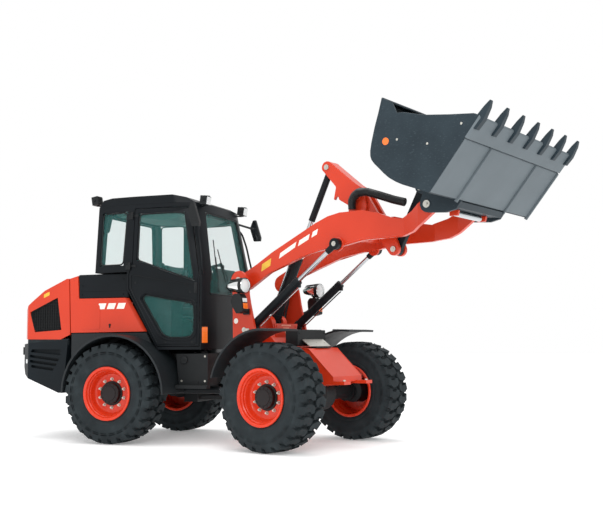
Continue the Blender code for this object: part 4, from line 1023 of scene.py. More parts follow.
def hood():
    """The engine hood with its side grilles, rear grille, stops, handle and the seal below it."""
    cutter = bmesh.new()
    for row in range(9):
        z = 1.070 + row * 0.026
        box_into(cutter, (-2.200, -0.400, z), (-2.118, 0.400, z + 0.013))
    softened("engine_hood", ORANGE, 0.011, 3, cutter=cutter)
    # The grille inserts' recessed floor, behind the mesh bars, is near black: painted shade for the dark bay
    # behind them.
    rim = bmesh.new()
    for side in (-1, 1):
        outer = plate_into(rim, vent_outline(), *sorted((side * 0.586, side * 0.6215)))
        face = max((f for v in outer for f in v.link_faces), key=lambda f: side * f.calc_center_median().y)
        bmesh.ops.inset_region(rim, faces=[face], thickness=0.014, depth=0.0)
        bmesh.ops.translate(rim, vec=(0, -side * 0.026, 0), verts=list(face.verts))
    round_edges(rim, 0.002, 2, 35)
    place_piece(rim, "hood_grille_rims", GRILLE_SHADE_BACKING, "engine_hood")
    bars = bmesh.new()
    for side in (-1, 1):
        for k in range(13):
            x = -2.040 + k * 0.028
            top = 1.287 + (x + 2.065) * 0.435
            box_into(bars, (x, side * 0.602 - 0.003, 1.100), (x + 0.005, side * 0.602 + 0.003, top - 0.014))
        for k in range(11):
            z = 1.110 + k * 0.028
            low_x = -2.003 - (z - 1.082) * 0.30 + 0.022
            if z > 1.275:
                low_x = -2.065 + (z - 1.287) / 0.435 + 0.025
            box_into(bars, (low_x, side * 0.600 - 0.003, z), (-1.700, side * 0.600 + 0.003, z + 0.005))
    place_piece(bars, "hood_grille_mesh", CASTING, "engine_hood")
    # A near-black sheet behind the rear slots: painted shade for the dark bay behind them.
    screen = bmesh.new()
    box_into(screen, (-2.106, -0.410, 1.060), (-2.100, 0.410, 1.310))
    place_piece(screen, "hood_rear_painted_shade_sheet", GRILLE_SHADE_BACKING, "engine_hood")
    trim = bmesh.new()
    for y in (-0.360, 0.360):
        bar_into(trim, (-1.612, y, 1.618), (-1.612, y, 1.640), 0.016, 20, 0.013)
    box_into(trim, (-2.146, -0.075, 1.028), (-2.132, 0.075, 1.052))
    round_edges(trim, 0.003)
    place_piece(trim, "hood_stops_and_handle", PLASTIC, "engine_hood")
    mark = bmesh.new()
    side_plate(mark, rounded([(-1.900, 1.430), (-1.832, 1.458), (-1.832, 1.494), (-1.900, 1.466)], 0.006),
               0.6198, 0.0010)
    place_piece(mark, "hood_yellow_marks", YELLOW_LABEL, "engine_hood")
    seal = bmesh.new()
    ring = [(-1.600, 0.612), (-2.086, 0.612), (-2.125, 0.568), (-2.125, -0.568), (-2.086, -0.612),
            (-1.600, -0.612)]
    inside = [(x + (0.016 if x < -1.7 else 0.0), y - (0.016 if y > 0 else -0.016)) for x, y in ring]
    plate_into(seal, ring + inside[::-1], 0.950, 1.0115, "Z")
    place_piece(seal, "hood_rubber_seal", RUBBER, "rear_frame")


FLANK_FRONT = -0.930         # the flanks' slanting edge lies ahead of this


def bevel_front_edge(shape):
    """Chamfers the slanting front edge of each flank."""
    edges = []
    for edge in shape.edges:
        ends = [REAR.inverted() @ v.co for v in edge.verts]
        if all(abs(abs(p.y) - BODY_HALF_WIDTH) < 0.001 and p.x > FLANK_FRONT for p in ends):
            edges.append(edge)
    bevel(shape, edges, 0.028, 1)


def flanks():
    """The engine bay's flanks, with a pressed panel, a lock and plain stripes."""
    softened("side_panels", ORANGE, 0.005, 2, first=bevel_front_edge)
    softened("engine_cowl", CAB_BLACK, 0.010, 3)
    pressed = bmesh.new()
    side_plate(pressed, rounded([(-1.452, 1.100), (-1.226, 1.106), (-1.230, 1.352), (-1.440, 1.352)], 0.030),
               0.6195, 0.0035)
    round_edges(pressed, 0.003, 3)
    place_piece(pressed, "flank_pressed_panels", ORANGE, "rear_frame")
    lock = bmesh.new()
    for side in (-1, 1):
        bar_into(lock, (-1.113, side * 0.619, 1.146), (-1.113, side * 0.6235, 1.146), 0.013, 24, 0.012)
        box_into(lock, (-1.119, side * 0.6225 - 0.003, 1.118), (-1.107, side * 0.6225 + 0.003, 1.158))
    place_piece(lock, "flank_locks", PLASTIC, "rear_frame")
    stripes = bmesh.new()
    for k in range(3):
        x = -1.262 + k * 0.112
        side_plate(stripes, [(x, 1.304), (x + 0.085, 1.304), (x + 0.107, 1.362), (x + 0.022, 1.362)],
                   0.6198, 0.0010)
    place_piece(stripes, "flank_white_stripes", WHITE_LABEL, "rear_frame")
    band = bmesh.new()
    side_plate(band, rounded([(-1.468, 1.420), (-0.910, 1.420), (-0.910, 1.482), (-1.472, 1.482)], 0.010),
               0.6175, 0.0060)
    round_edges(band, 0.003)
    for side in (-1, 1):
        for x, z in ((-1.440, 1.540), (-0.965, 1.600), (-0.965, 1.450), (-1.440, 1.450)):
            hex_into(band, (x, side * (0.6175 if z > 1.5 else 0.6230), z), (0, side, 0), 0.009, 0.006)
        plate_into(band, rounded([(-1.090, 1.560), (-1.030, 1.575), (-1.050, 1.590), (-1.095, 1.575)], 0.006),
                   *sorted((side * 0.6175, side * 0.6195)))
    place_piece(band, "cowl_bands_and_bolts", CAB_BLACK, "rear_frame")


def exhaust():
    """The tail pipe: a hollow stack with a collar and a burnished lip."""
    low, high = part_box("exhaust_pipe")
    middle = (Vector(low) + Vector(high)) / 2
    base = Vector((middle.x, middle.y, low[2]))
    radius, height = (high[0] - low[0]) / 2 - 0.0008, high[2] - low[2] - 0.0005
    shape = bmesh.new()
    profile = [(0.0, 0.010), (radius - 0.006, 0.010), (radius - 0.006, height - 0.004),
               (radius - 0.003, height), (radius - 0.0005, height - 0.003),
               (radius - 0.0005, height - 0.010), (radius - 0.003, height - 0.012),
               (radius - 0.003, 0.016), (radius, 0.012), (radius, 0.0), (0.0, 0.0), (0.0, 0.010)]
    turned_into(shape, profile, base, base + Vector((0, 0, 1)), 32)
    pipe = place_piece(shape, "exhaust_stack", CASTING, "rear_frame", None)
    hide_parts("exhaust_pipe")
    ring = bmesh.new()
    lip = [(radius - 0.0075, height - 0.016), (radius - 0.0062, height - 0.016),
           (radius - 0.0062, height - 0.004), (radius - 0.0075, height - 0.004),
           (radius - 0.0075, height - 0.016)]
    turned_into(ring, lip, base, base + Vector((0, 0, 1)), 32)
    place_piece(ring, "exhaust_lip", ZINC, "rear_frame", None)


def louvre(k):
    """One slanting slot in the counterweight's flank."""
    left = (-2.052, -2.060, -2.058, -2.040)[k]
    right = (-1.690, -1.705, -1.730, -1.765)[k]
    top = 0.905 - k * 0.052
    slope = -0.115
    low = top - 0.026
    if k == 0:
        return [(left, low), (right, low - 0.030), (right, top), (left + 0.020, top + 0.002)]
    fall = slope * (right - left)
    return [(left, low), (right - 0.012, low + fall), (right, top + fall), (left, top)]


def counterweight():
    """The cast counterweight with its slots, lamps, corner reflectors and tow pin."""
    cutter = bmesh.new()
    for side in (-1, 1):
        for k in range(4):
            plate_into(cutter, louvre(k), *sorted((side * 0.585, side * 0.700)))
    box_into(cutter, (-2.300, -0.070, 0.640), (-2.140, 0.070, 0.760))
    softened("counterweight", CHARCOAL, 0.012, 3, cutter=cutter)
    for label, side in SIDES:
        place, out = on_skin(skin_of("counterweight"), (-2.600, side * 0.590, 0.785), (1, 0, 0))
        lamp = bmesh.new()
        across = Vector((0, 0, 1)).cross(out).normalized()
        turned = Matrix((across, out, out.cross(across).normalized())).transposed().to_4x4()
        box_into(lamp, (-0.026, -0.004, -0.022), (0.026, 0.004, 0.022))
        round_edges(lamp, 0.003)
        bmesh.ops.transform(lamp, matrix=Matrix.Translation(place) @ turned, verts=lamp.verts)
        place_piece(lamp, "corner_reflector_" + label, CLEAR_LENS, "rear_frame")
    for name, material, back, front, inner, outer, low, high in (
            ("housings", PLASTIC, -2.2380, -2.215, -0.095, 0.095, 0.850, 0.930),
            ("red_lenses", RED_LENS, -2.2405, -2.232, -0.088, 0.005, 0.856, 0.924),
            ("amber_lenses", AMBER, -2.2405, -2.232, 0.010, 0.088, 0.856, 0.924)):
        shape = bmesh.new()
        for side in (-1, 1):
            box_into(shape, (back, side * 0.400 + inner, low), (front, side * 0.400 + outer, high))
        round_edges(shape, 0.003)
        place_piece(shape, "rear_lamp_" + name, material, "rear_frame")
    hitch = bmesh.new()
    for z in (0.652, 0.732):
        box_into(hitch, (-2.205, -0.060, z), (-2.130, 0.060, z + 0.016))
    bar_into(hitch, (-2.180, 0, 0.640), (-2.180, 0, 0.790), 0.014, 20)
    pipe_into(hitch, [(-2.180, 0, 0.788), (-2.180, 0.020, 0.806), (-2.180, 0.040, 0.788)], 0.005, 8)
    round_edges(hitch, 0.002)
    place_piece(hitch, "tow_pin_and_jaw", CASTING, "rear_frame")


def fender_lip(end, label, side, middle, radius, angles):
    """The rolled edge round a wheel arch, on its rear or front frame."""
    shape = bmesh.new()
    points = []
    for angle in angles:
        turn = radians(angle)
        points.append((middle + radius * cos(turn), side * 0.8635, TYRE_RADIUS + radius * sin(turn)))
    pipe_into(shape, points, 0.0060, 8)
    place_piece(shape, end + "_fender_lip_" + label, FENDER, end + "_frame", end)


def chassis():
    """The rear frame's steel, the axle's bolts and the struts under the cab."""
    softened("rear_chassis", CASTING, 0.005, 2)
    for label, side in SIDES:
        softened("rear_fender_" + label, FENDER, 0.004, 2)
        fender_lip("rear", label, side, -0.940, 0.5585, [1 + 178 * k / 24 for k in range(25)])
    strut = bmesh.new()
    side_plate(strut, rounded([(-0.775, 1.045), (-0.590, 0.880), (-0.560, 0.800), (-0.650, 0.930)], 0.010),
               0.596, 0.014)
    round_edges(strut, 0.003)
    place_piece(strut, "cab_mount_struts", CHARCOAL, "rear_frame")
    for node, where, x in (("rear_axle", "rear", -WHEEL_REACH), ("front_axle", "front", WHEEL_REACH)):
        softened(node, CASTING, 0.006, 2)
        trim = bmesh.new()
        for k in range(12):
            angle = 2 * pi * k / 12
            for side in (-1, 1):
                place = (x + 0.128 * cos(angle), side * 0.065, TYRE_RADIUS + 0.128 * sin(angle))
                hex_into(trim, place, (0, side, 0), 0.009, 0.030)
        for side in (-1, 1):
            for y in (0.470, 0.500):
                bar_into(trim, (x, side * y, TYRE_RADIUS), (x, side * (y + 0.012), TYRE_RADIUS), 0.098, 32)
        place_piece(trim, node + "_bolts_and_flanges", CASTING, body_of_node(node), where)


hood()
flanks()
exhaust()
counterweight()
chassis()


# ------------------------------------------------------------------ cab

# Outlines on the flanks are (x, z), and on the cab's front and back (y, z).
UPPER_WINDOW = [(-0.800, 2.245), (-0.800, 1.775), (-0.195, 1.560), (-0.205, 1.640), (-0.318, 2.245)]
LOWER_WINDOW = [(-0.735, 1.400), (-0.690, 1.440), (-0.230, 1.360), (-0.195, 1.320), (-0.195, 1.060),
                (-0.240, 1.010), (-0.440, 1.010), (-0.510, 1.040)]
QUARTER_WINDOW = [(-1.225, 2.270), (-1.235, 1.730), (-0.945, 1.730), (-0.925, 2.270)]
DOOR_EDGE = [(-0.838, 2.290), (-0.838, 1.740), (-0.872, 1.640), (-0.872, 1.500), (-0.560, 0.935),
             (-0.150, 0.935), (-0.150, 1.600), (-0.275, 2.290)]
WINDSCREEN = [(-0.470, 1.430), (0.470, 1.430), (0.440, 1.640), (0.372, 2.255), (-0.372, 2.255),
              (-0.440, 1.640)]
REAR_WINDOW = [(-0.520, 1.740), (0.520, 1.740), (0.475, 2.255), (-0.475, 2.255)]


def grown(outline, amount):
    """An outline moved outwards by the amount, each of its edges parallel to where it was."""
    area = sum(a[0] * b[1] - b[0] * a[1] for a, b in zip(outline, outline[1:] + outline[:1]))
    side = 1 if area > 0 else -1
    made = []
    for i, corner in enumerate(outline):
        before = (Vector(corner) - Vector(outline[i - 1])).normalized()
        after = (Vector(outline[(i + 1) % len(outline)]) - Vector(corner)).normalized()
        normals = [Vector((d.y, -d.x)) * side for d in (before, after)]
        mid = (normals[0] + normals[1]).normalized()
        made.append(tuple(Vector(corner) + mid * amount / max(mid.dot(normals[0]), 0.3)))
    return made


def spaced(outline, pitch):
    """Points along a closed outline, no further apart than the pitch."""
    made = []
    for a, b in zip(outline, outline[1:] + outline[:1]):
        count = max(int((Vector(b) - Vector(a)).length / pitch), 1)
        made += [tuple(Vector(a).lerp(Vector(b), k / count)) for k in range(count)]
    return made


def bead_on(shape, skin, outline, side, radius, sunk):
    """A round bead laid along an outline on the cab's flank."""
    points = []
    for x, z in spaced(outline, 0.05):
        place, out = on_skin(skin, (x, side * 1.2, z), (0, -side, 0))
        points.append(place + out * (radius - sunk))
    loop_pipe(shape, points, radius)


def bead_facing(shape, skin, outline, x_from, direction, radius, sunk):
    """A round bead laid along an outline on the cab's front or back."""
    points = []
    for y, z in spaced(outline, 0.06):
        place, out = on_skin(skin, (x_from, y, z), (direction, 0, 0))
        points.append(place + out * (radius - sunk))
    loop_pipe(shape, points, radius)


def door_trim(label, side):
    """Pressed beads, window seals, bolts and the handle of one door."""
    node = "door_" + label
    softened(node, CAB_BLACK, 0.003, 2)
    skin = skin_of(node)
    beads = bmesh.new()
    bead_on(beads, skin, rounded(grown(LOWER_WINDOW, 0.020), 0.050), side, 0.0075, 0.0040)
    low_edge = [p for p in grown(DOOR_EDGE, -0.020) if p[1] < 1.72][:5]
    bead_on(beads, skin, rounded(low_edge + [(low_edge[4][0] - 0.012, 1.520)], 0.020), side, 0.0050, 0.0030)
    place_piece(beads, "door_beads_" + label, CAB_BLACK, node)
    seals = bmesh.new()
    for outline, pane in ((UPPER_WINDOW, "door_glass_"), (LOWER_WINDOW, "door_low_glass_")):
        bead_on(seals, skin_of(pane + label), rounded(grown(outline, -0.008), 0.040), side, 0.0070, 0.0030)
    place_piece(seals, "door_window_seals_" + label, PLASTIC, node)
    bolts = bmesh.new()
    for x, z in ((-0.800, 1.555), (-0.235, 1.455), (-0.640, 1.165), (-0.468, 0.972), (-0.215, 0.972)):
        place, out = on_skin(skin, (x, side * 1.2, z), (0, -side, 0))
        dome_into(bolts, place, out, 0.010)
    place_piece(bolts, "door_bolts_" + label, CASTING, node)
    handle = bmesh.new()
    face = side * abs(on_skin(skin, (-0.178, side * 1.2, 1.500), (0, -side, 0))[0].y)
    box_into(handle, (-0.198, face + side * 0.006 - 0.006, 1.445),
             (-0.166, face + side * 0.006 + 0.006, 1.545))
    bar_into(handle, (-0.182, face, 1.462), (-0.182, face + side * 0.020, 1.462), 0.009, 20)
    round_edges(handle, 0.003)
    place_piece(handle, "door_handle_" + label, PLASTIC, node)
    door_hinges(label, side)


def door_hinges(label, side):
    """The door's two hinges: a leaf that swings with it, and knuckles that stay on the pillar."""
    hinge_pos = Vector(JOINT["open_door_" + label]["pos_m"])
    axis = Vector(JOINT["open_door_" + label]["axis"]).normalized()
    axis = axis if axis.z > 0 else -axis
    leaf, fixed = bmesh.new(), bmesh.new()
    back = REAR.inverted()
    for z in (1.720, 2.225):
        centre = back @ (hinge_pos + axis * ((z - hinge_pos.z) / axis.z))
        lean = back.to_3x3() @ axis
        for k in (-1, 1):
            bar_into(fixed, centre + lean * (0.012 * k), centre + lean * (0.034 * k), 0.0105, 20)
        bar_into(leaf, centre - lean * 0.0105, centre + lean * 0.0105, 0.0105, 20)
        bar_into(fixed, centre - lean * 0.038, centre + lean * 0.038, 0.0050, 12)
        face = side * (abs(centre.y) - 0.0165)
        tilt = Matrix.Rotation(atan2(-lean.y, lean.z), 4, "X")
        box_into(fixed, (centre.x - 0.052, face + side * 0.0035 - 0.004, centre.z - 0.034),
                 (centre.x - 0.004, face + side * 0.0035 + 0.004, centre.z + 0.034), tilt)
        box_into(leaf, (centre.x + 0.004, face + side * 0.0030 - 0.004, centre.z - 0.0105),
                 (centre.x + 0.062, face + side * 0.0030 + 0.004, centre.z + 0.0105), tilt)
        for x in (-0.042, -0.020):
            hex_into(fixed, (centre.x + x, face + side * 0.0070, centre.z + 0.020), (0, side, 0),
                     0.006, 0.005)
    place_piece(leaf, "door_hinge_leaves_" + label, CASTING, "door_" + label)
    place_piece(fixed, "door_hinge_knuckles_" + label, CASTING, "rear_frame")


def work_lamp(name, place, turn):
    """A square work lamp on a fork: housing, reflector, lens and its knob."""
    matrix = REAR @ Matrix.Translation(place) @ turn
    housing = bmesh.new()
    box_into(housing, (-0.038, -0.050, -0.044), (0.034, 0.050, 0.044))
    for k in range(5):
        box_into(housing, (-0.046, -0.040, -0.032 + k * 0.015), (-0.036, 0.040, -0.026 + k * 0.015))
    round_edges(housing, 0.006, 2)
    box_into(housing, (-0.020, -0.010, 0.042), (0.040, 0.010, 0.050))
    for side in (-1, 1):
        bar_into(housing, (0.0, side * 0.048, 0.0), (0.0, side * 0.060, 0.0), 0.010, 16)
    place_piece(housing, name + "_housing", PLASTIC, "rear_frame", matrix)
    dish = bmesh.new()
    turned_into(dish, [(0.010, 0.004), (0.030, 0.010), (0.040, 0.026), (0.0425, 0.034), (0.0385, 0.030),
                       (0.028, 0.008), (0.010, 0.000), (0.010, 0.004)], (0.0035, 0, 0), (1, 0, 0), 32)
    place_piece(dish, name + "_reflector", REFLECTOR, "rear_frame", matrix)
    lens = bmesh.new()
    box_into(lens, (0.034, -0.044, -0.038), (0.040, 0.044, 0.038))
    round_edges(lens, 0.003)
    place_piece(lens, name + "_lens", CLEAR_LENS, "rear_frame", matrix)


def lamps_on_cab():
    """Four work lamps under the roof's corners, on bent tubes."""
    tubes = bmesh.new()
    for label, side in SIDES:
        front = Vector((-0.150, side * 0.440, 2.362))
        work_lamp("front_work_lamp_" + label, front, Matrix.Rotation(radians(8), 4, "Y"))
        pipe_into(tubes, [(-0.262, side * 0.390, 2.352), (-0.235, side * 0.392, 2.345),
                          (-0.210, side * 0.400, 2.318), (-0.160, side * 0.440, 2.312)], 0.008, 10)
        bar_into(tubes, (-0.150, side * 0.440, 2.308), (-0.150, side * 0.440, 2.322), 0.013, 16)
        rear = Vector((-1.395, side * 0.440, 2.425))
        work_lamp("rear_work_lamp_" + label, rear,
                  Matrix.Rotation(pi, 4, "Z") @ Matrix.Rotation(radians(10), 4, "Y"))
        pipe_into(tubes, [(-1.240, side * 0.470, 2.375), (-1.290, side * 0.460, 2.372),
                          (-1.350, side * 0.440, 2.372), (-1.392, side * 0.440, 2.378)], 0.008, 10)
    place_piece(tubes, "work_lamp_tubes", PLASTIC, "rear_frame")


def off_pane(skin, y, z, proud, facing):
    """A point a little off the windscreen (facing 1) or the rear window (facing -1)."""
    place, out = on_skin(skin, (facing * 2.5, y, z), (-facing, 0, 0))
    return place + out * proud


def wiper(name, points, blade):
    """A wiper: its shaft, arm and blade."""
    shape = bmesh.new()
    bar_into(shape, points[0], Vector(points[0]) + Vector((0.014, 0, 0)), 0.014, 20)
    pipe_into(shape, points, 0.0042, 8, smooth=False)
    bar_into(shape, blade[0], blade[1], 0.0050, 8)
    middle = (Vector(blade[0]) + Vector(blade[1])) / 2
    bar_into(shape, points[-1], middle, 0.0045, 8)
    place_piece(shape, name, PLASTIC, "rear_frame")


def cab_outside():
    """Pillars, roof, window seals, mirrors, grab rails, wipers and the rear corner's vent."""
    softened("cab_frame", CAB_BLACK, 0.004, 2)
    softened("cab_roof", CAB_BLACK, 0.016, 4)
    for label, side in SIDES:
        softened("mirror_" + label, PLASTIC, 0.008, 3)
    seals = bmesh.new()
    for label, side in SIDES:
        bead_on(seals, skin_of("quarter_glass_" + label), rounded(grown(QUARTER_WINDOW, -0.008), 0.045), side,
                0.0075, 0.0030)
    for node, outline, x_from, direction in (("windscreen", WINDSCREEN, 1.0, -1),
                                             ("rear_window", REAR_WINDOW, -2.0, 1)):
        bead_facing(seals, skin_of(node), rounded(grown(outline, -0.008), 0.040), x_from, direction,
                    0.0075, 0.0030)
    place_piece(seals, "cab_window_seals", PLASTIC, "rear_frame")
    for label, side in SIDES:
        face = bmesh.new()
        outline = rounded([(-0.176, 2.210), (-0.146, 2.291), (-0.124, 2.295), (-0.068, 2.110),
                           (-0.071, 2.078), (-0.136, 2.078)], 0.016)
        plate_into(face, outline, *sorted((side * 0.7155, side * 0.7120)))
        place_piece(face, "mirror_glass_" + label, MIRROR_FACE, "rear_frame")
        ribs = bmesh.new()
        for k in range(5):
            z = 2.110 + k * 0.032
            box_into(ribs, (-0.150 + k * 0.002, side * 0.7545 - 0.002, z),
                     (-0.080 - k * 0.010, side * 0.7545 + 0.002, z + 0.006))
        place_piece(ribs, "mirror_shell_ribs_" + label, PLASTIC, "rear_frame")
    pipes = bmesh.new()
    for side in (-1, 1):
        front = [(-0.262, side * 0.455, 2.190), (-0.205, side * 0.500, 2.150),
                 (-0.172, side * 0.545, 2.050), (-0.130, side * 0.575, 1.850), (-0.110, side * 0.590, 1.720),
                 (-0.112, side * 0.570, 1.650), (-0.140, side * 0.530, 1.630)]
        pipe_into(pipes, front, 0.0105, 12)
    place_piece(pipes, "pillar_grab_rails", CAB_BLACK, "rear_frame")
    glass = skin_of("windscreen")
    for label, arm, blade in (
            ("right", ((-0.330, 1.480, 0.012), (-0.345, 1.600, 0.020), (-0.330, 1.800, 0.014)),
             ((-0.352, 1.640, 0.012), (-0.318, 1.980, 0.012))),
            ("left", ((-0.050, 1.480, 0.012), (-0.140, 1.620, 0.020), (-0.205, 1.730, 0.014)),
             ((-0.150, 1.560, 0.012), (-0.255, 1.890, 0.012)))):
        wiper("windscreen_wiper_" + label, [off_pane(glass, *point, 1) for point in arm],
              [off_pane(glass, *point, 1) for point in blade])
    rear_wiper()
    cover = bmesh.new()
    plate_into(cover, rounded([(-1.262, 2.320), (-1.268, 2.140), (-1.245, 2.080), (-1.215, 2.090),
                               (-1.190, 2.200), (-1.150, 2.330)], 0.030), -0.545, -0.475)
    round_edges(cover, 0.012, 3)
    place_piece(cover, "rear_corner_vent", PLASTIC, "rear_frame")


def rear_wiper():
    """The wiper on the rear window, its arm and its blade on one shaft."""
    pane = skin_of("rear_window")
    points = [off_pane(pane, *point, -1) for point in (
        (0.0, 2.225, 0.012), (0.090, 2.080, 0.018), (0.150, 1.980, 0.013), (0.060, 2.160, 0.012),
        (0.235, 1.810, 0.012), (0.0, 2.225, 0.0), (0.0, 2.225, 0.018))]
    arm = bmesh.new()
    pipe_into(arm, points[:3], 0.0042, 8, smooth=False)
    bar_into(arm, points[3], points[4], 0.0050, 8)
    bar_into(arm, points[5], points[6], 0.014, 20)
    place_piece(arm, "rear_wiper", PLASTIC, "rear_frame")


VOXEL = 0.008                # the cells that a foam pad is remeshed into
FOAM_FRAMES = 14             # how long the pressure swells it


def padded_block(name, outline, half_width, rounding, cap):
    """A foam pad: its block is remeshed, then blown up by cloth pressure as far as the cap."""
    shape = bmesh.new()
    plate_into(shape, outline, -half_width, half_width)
    round_edges(shape, rounding, 3)
    bmesh.ops.transform(shape, matrix=REAR, verts=shape.verts)
    pad = object_from(shape, name)
    voxels = pad.modifiers.new("voxels", "REMESH")
    voxels.mode, voxels.voxel_size = "VOXEL", VOXEL
    bake_modifiers(pad)
    before = [v.co.copy() for v in pad.data.vertices]
    cloth = pad.modifiers.new("foam", "CLOTH")
    cloth.settings.use_pressure = True
    cloth.settings.uniform_pressure_force = 4.0
    cloth.settings.effector_weights.gravity = 0.0
    for number in range(1, FOAM_FRAMES + 1):
        bpy.context.scene.frame_set(number)
    bake_modifiers(pad)
    for vertex, start in zip(pad.data.vertices, before):
        moved = vertex.co - start
        if moved.length > cap:
            vertex.co = start + moved.normalized() * cap
    pad.data.materials.append(CLOTH)
    pad.data.shade_smooth()
    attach(pad, "rear_frame")


def bake_modifiers(thing):
    """Keeps what the modifiers make as the object's own mesh."""
    made = mesh_of(thing)
    thing.modifiers.clear()
    thing.data = made


def seat():
    """The seat's cushion and back on their suspension base."""
    padded_block("seat_cushion", [(-0.645, 1.238), (-0.275, 1.232), (-0.272, 1.300), (-0.640, 1.314)],
                 0.225, 0.024, 0.014)
    padded_block("seat_back", [(-0.668, 1.330), (-0.590, 1.318), (-0.700, 1.765), (-0.765, 1.765)],
                 0.215, 0.022, 0.013)
    base = bmesh.new()
    box_into(base, (-0.460, -0.165, 0.948), (-0.305, 0.165, 1.000))
    for k in range(6):
        low = 1.004 + k * 0.032
        fold = (k % 2) * 0.006
        box_into(base, (-0.455 + fold, -0.160, low), (-0.310 - fold, 0.160, low + 0.026))
    box_into(base, (-0.650, -0.205, 1.200), (-0.290, 0.205, 1.230))
    round_edges(base, 0.006)
    for y in (-0.190, 0.190):
        bar_into(base, (-0.640, y, 1.222), (-0.735, y, 1.560), 0.012, 12)
    frame_piece = place_piece(base, "seat_suspension", PLASTIC, "rear_frame")
    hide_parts("seat")


def interior():
    """What the driver handles, and what lines the cab."""
    steering()
    console_and_lever()
    linings()


def steering():
    """The steering column's cover, its wheel and the instrument pod."""
    column = bmesh.new()
    plate_into(column, rounded([(-0.230, 0.948), (-0.165, 0.948), (-0.155, 1.480), (-0.200, 1.600),
                                (-0.245, 1.560)], 0.020), -0.090, 0.090)
    round_edges(column, 0.010, 3)
    hub = Vector((-0.335, 0, 1.680))
    bar_into(column, (-0.210, 0, 1.490), hub, 0.028, 20)
    dash = place_piece(column, "steering_column_cover", PLASTIC, "rear_frame")
    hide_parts("steering_column")
    tilt = Vector((0, 0, 1)).rotation_difference(Vector((-0.50, 0, 1))).to_matrix().to_4x4()
    wheel_rim = bmesh.new()
    ring = [(0.165 + 0.014 * cos(2 * pi * k / 10), 0.014 * sin(2 * pi * k / 10)) for k in range(10)]
    turned_into(wheel_rim, ring + [ring[0]], (0, 0, 0), (0, 0, 1), 48)
    turned_into(wheel_rim, [(0.0, 0.012), (0.030, 0.010), (0.040, 0.0), (0.038, -0.014), (0.0, -0.016)],
                (0, 0, 0), (0, 0, 1), 32)
    for k in range(3):
        angle = radians(90 + 120 * k)
        bar_into(wheel_rim, (0, 0, 0), (0.158 * cos(angle), 0.158 * sin(angle), 0), 0.010, 12)
    bar_into(wheel_rim, (0.120, 0.115, 0.006), (0.120, 0.115, 0.060), 0.018, 16, 0.014)
    place_piece(wheel_rim, "steering_wheel", PLASTIC, "rear_frame", REAR @ Matrix.Translation(hub) @ tilt)
    pod = bmesh.new()
    plate_into(pod, rounded([(-0.235, 1.500), (-0.180, 1.470), (-0.178, 1.700), (-0.215, 1.726),
                             (-0.240, 1.700)], 0.018), -0.095, 0.360)
    round_edges(pod, 0.014, 3)
    place_piece(pod, "instrument_pod", PLASTIC, "rear_frame")


def console_and_lever():
    """The consoles beside the seat, and the armrest with its lever."""
    console = bmesh.new()
    plate_into(console, rounded([(-0.900, 1.000), (-0.470, 1.000), (-0.470, 1.420), (-0.520, 1.500),
                                 (-0.900, 1.560)], 0.030), -0.540, -0.300)
    plate_into(console, rounded([(-0.900, 1.000), (-0.470, 1.000), (-0.470, 1.400), (-0.900, 1.500)], 0.030),
               0.300, 0.540)
    round_edges(console, 0.012, 3)
    place_piece(console, "side_consoles", PLASTIC, "rear_frame")
    lever = bmesh.new()
    box_into(lever, (-0.760, -0.330, 1.600), (-0.440, -0.250, 1.640), Matrix.Rotation(radians(6), 4, "Y"))
    round_edges(lever, 0.012, 3)
    pipe_into(lever, [(-0.735, -0.290, 1.630), (-0.730, -0.290, 1.680), (-0.718, -0.290, 1.712)], 0.010, 12)
    ball = bmesh.ops.create_uvsphere(lever, u_segments=20, v_segments=12, radius=0.030)
    bmesh.ops.scale(lever, vec=(1.0, 0.85, 1.25), verts=ball["verts"])
    bmesh.ops.translate(lever, vec=(-0.712, -0.290, 1.738), verts=ball["verts"])
    pipe_into(lever, [(-0.640, -0.300, 1.540), (-0.640, -0.295, 1.590), (-0.630, -0.290, 1.612)], 0.014, 12)
    pipe_into(lever, [(-0.480, -0.300, 1.600), (-0.470, -0.300, 1.660), (-0.440, -0.300, 1.700)], 0.008, 12)
    bar_into(lever, (-0.442, -0.300, 1.695), (-0.425, -0.300, 1.730), 0.017, 20, 0.013)
    place_piece(lever, "armrest_and_lever", PLASTIC, "rear_frame")


def linings():
    """The headlining, the rolled sun blind, the floor mat and the pedals."""
    lining = bmesh.new()
    plate_into(lining, rounded([(-1.210, 2.330), (-1.195, 2.262), (-0.900, 2.240), (-0.700, 2.206),
                                (-0.560, 2.196), (-0.420, 2.222), (-0.335, 2.262), (-0.310, 2.330)], 0.040),
               -0.405, 0.405)
    round_edges(lining, 0.014, 3)
    place_piece(lining, "roof_lining", FELT, "rear_frame")
    blind = bmesh.new()
    bar_into(blind, (-0.318, -0.330, 2.268), (-0.318, 0.330, 2.268), 0.018, 20)
    place_piece(blind, "sun_blind_roll", PLASTIC, "rear_frame")
    mat = bmesh.new()
    box_into(mat, (-0.450, -0.270, 0.9455), (-0.240, 0.270, 0.952))
    for k in range(12):
        box_into(mat, (-0.445, -0.262 + k * 0.044, 0.951), (-0.245, -0.250 + k * 0.044, 0.955))
    place_piece(mat, "floor_mat", RUBBER, "rear_frame")
    pedals = bmesh.new()
    for y in (-0.150, 0.150):
        box_into(pedals, (-0.215, y - 0.040, 0.990), (-0.195, y + 0.040, 1.090),
                 Matrix.Rotation(radians(-28), 4, "Y"))
    round_edges(pedals, 0.004)
    place_piece(pedals, "foot_pedals", PLASTIC, "rear_frame")


for side_name, side_sign in SIDES:
    door_trim(side_name, side_sign)
lamps_on_cab()
cab_outside()
seat()
interior()


# ------------------------------------------------------------------ front frame


TOWER_FACE = 0.417           # the towers' outer faces, out from the middle


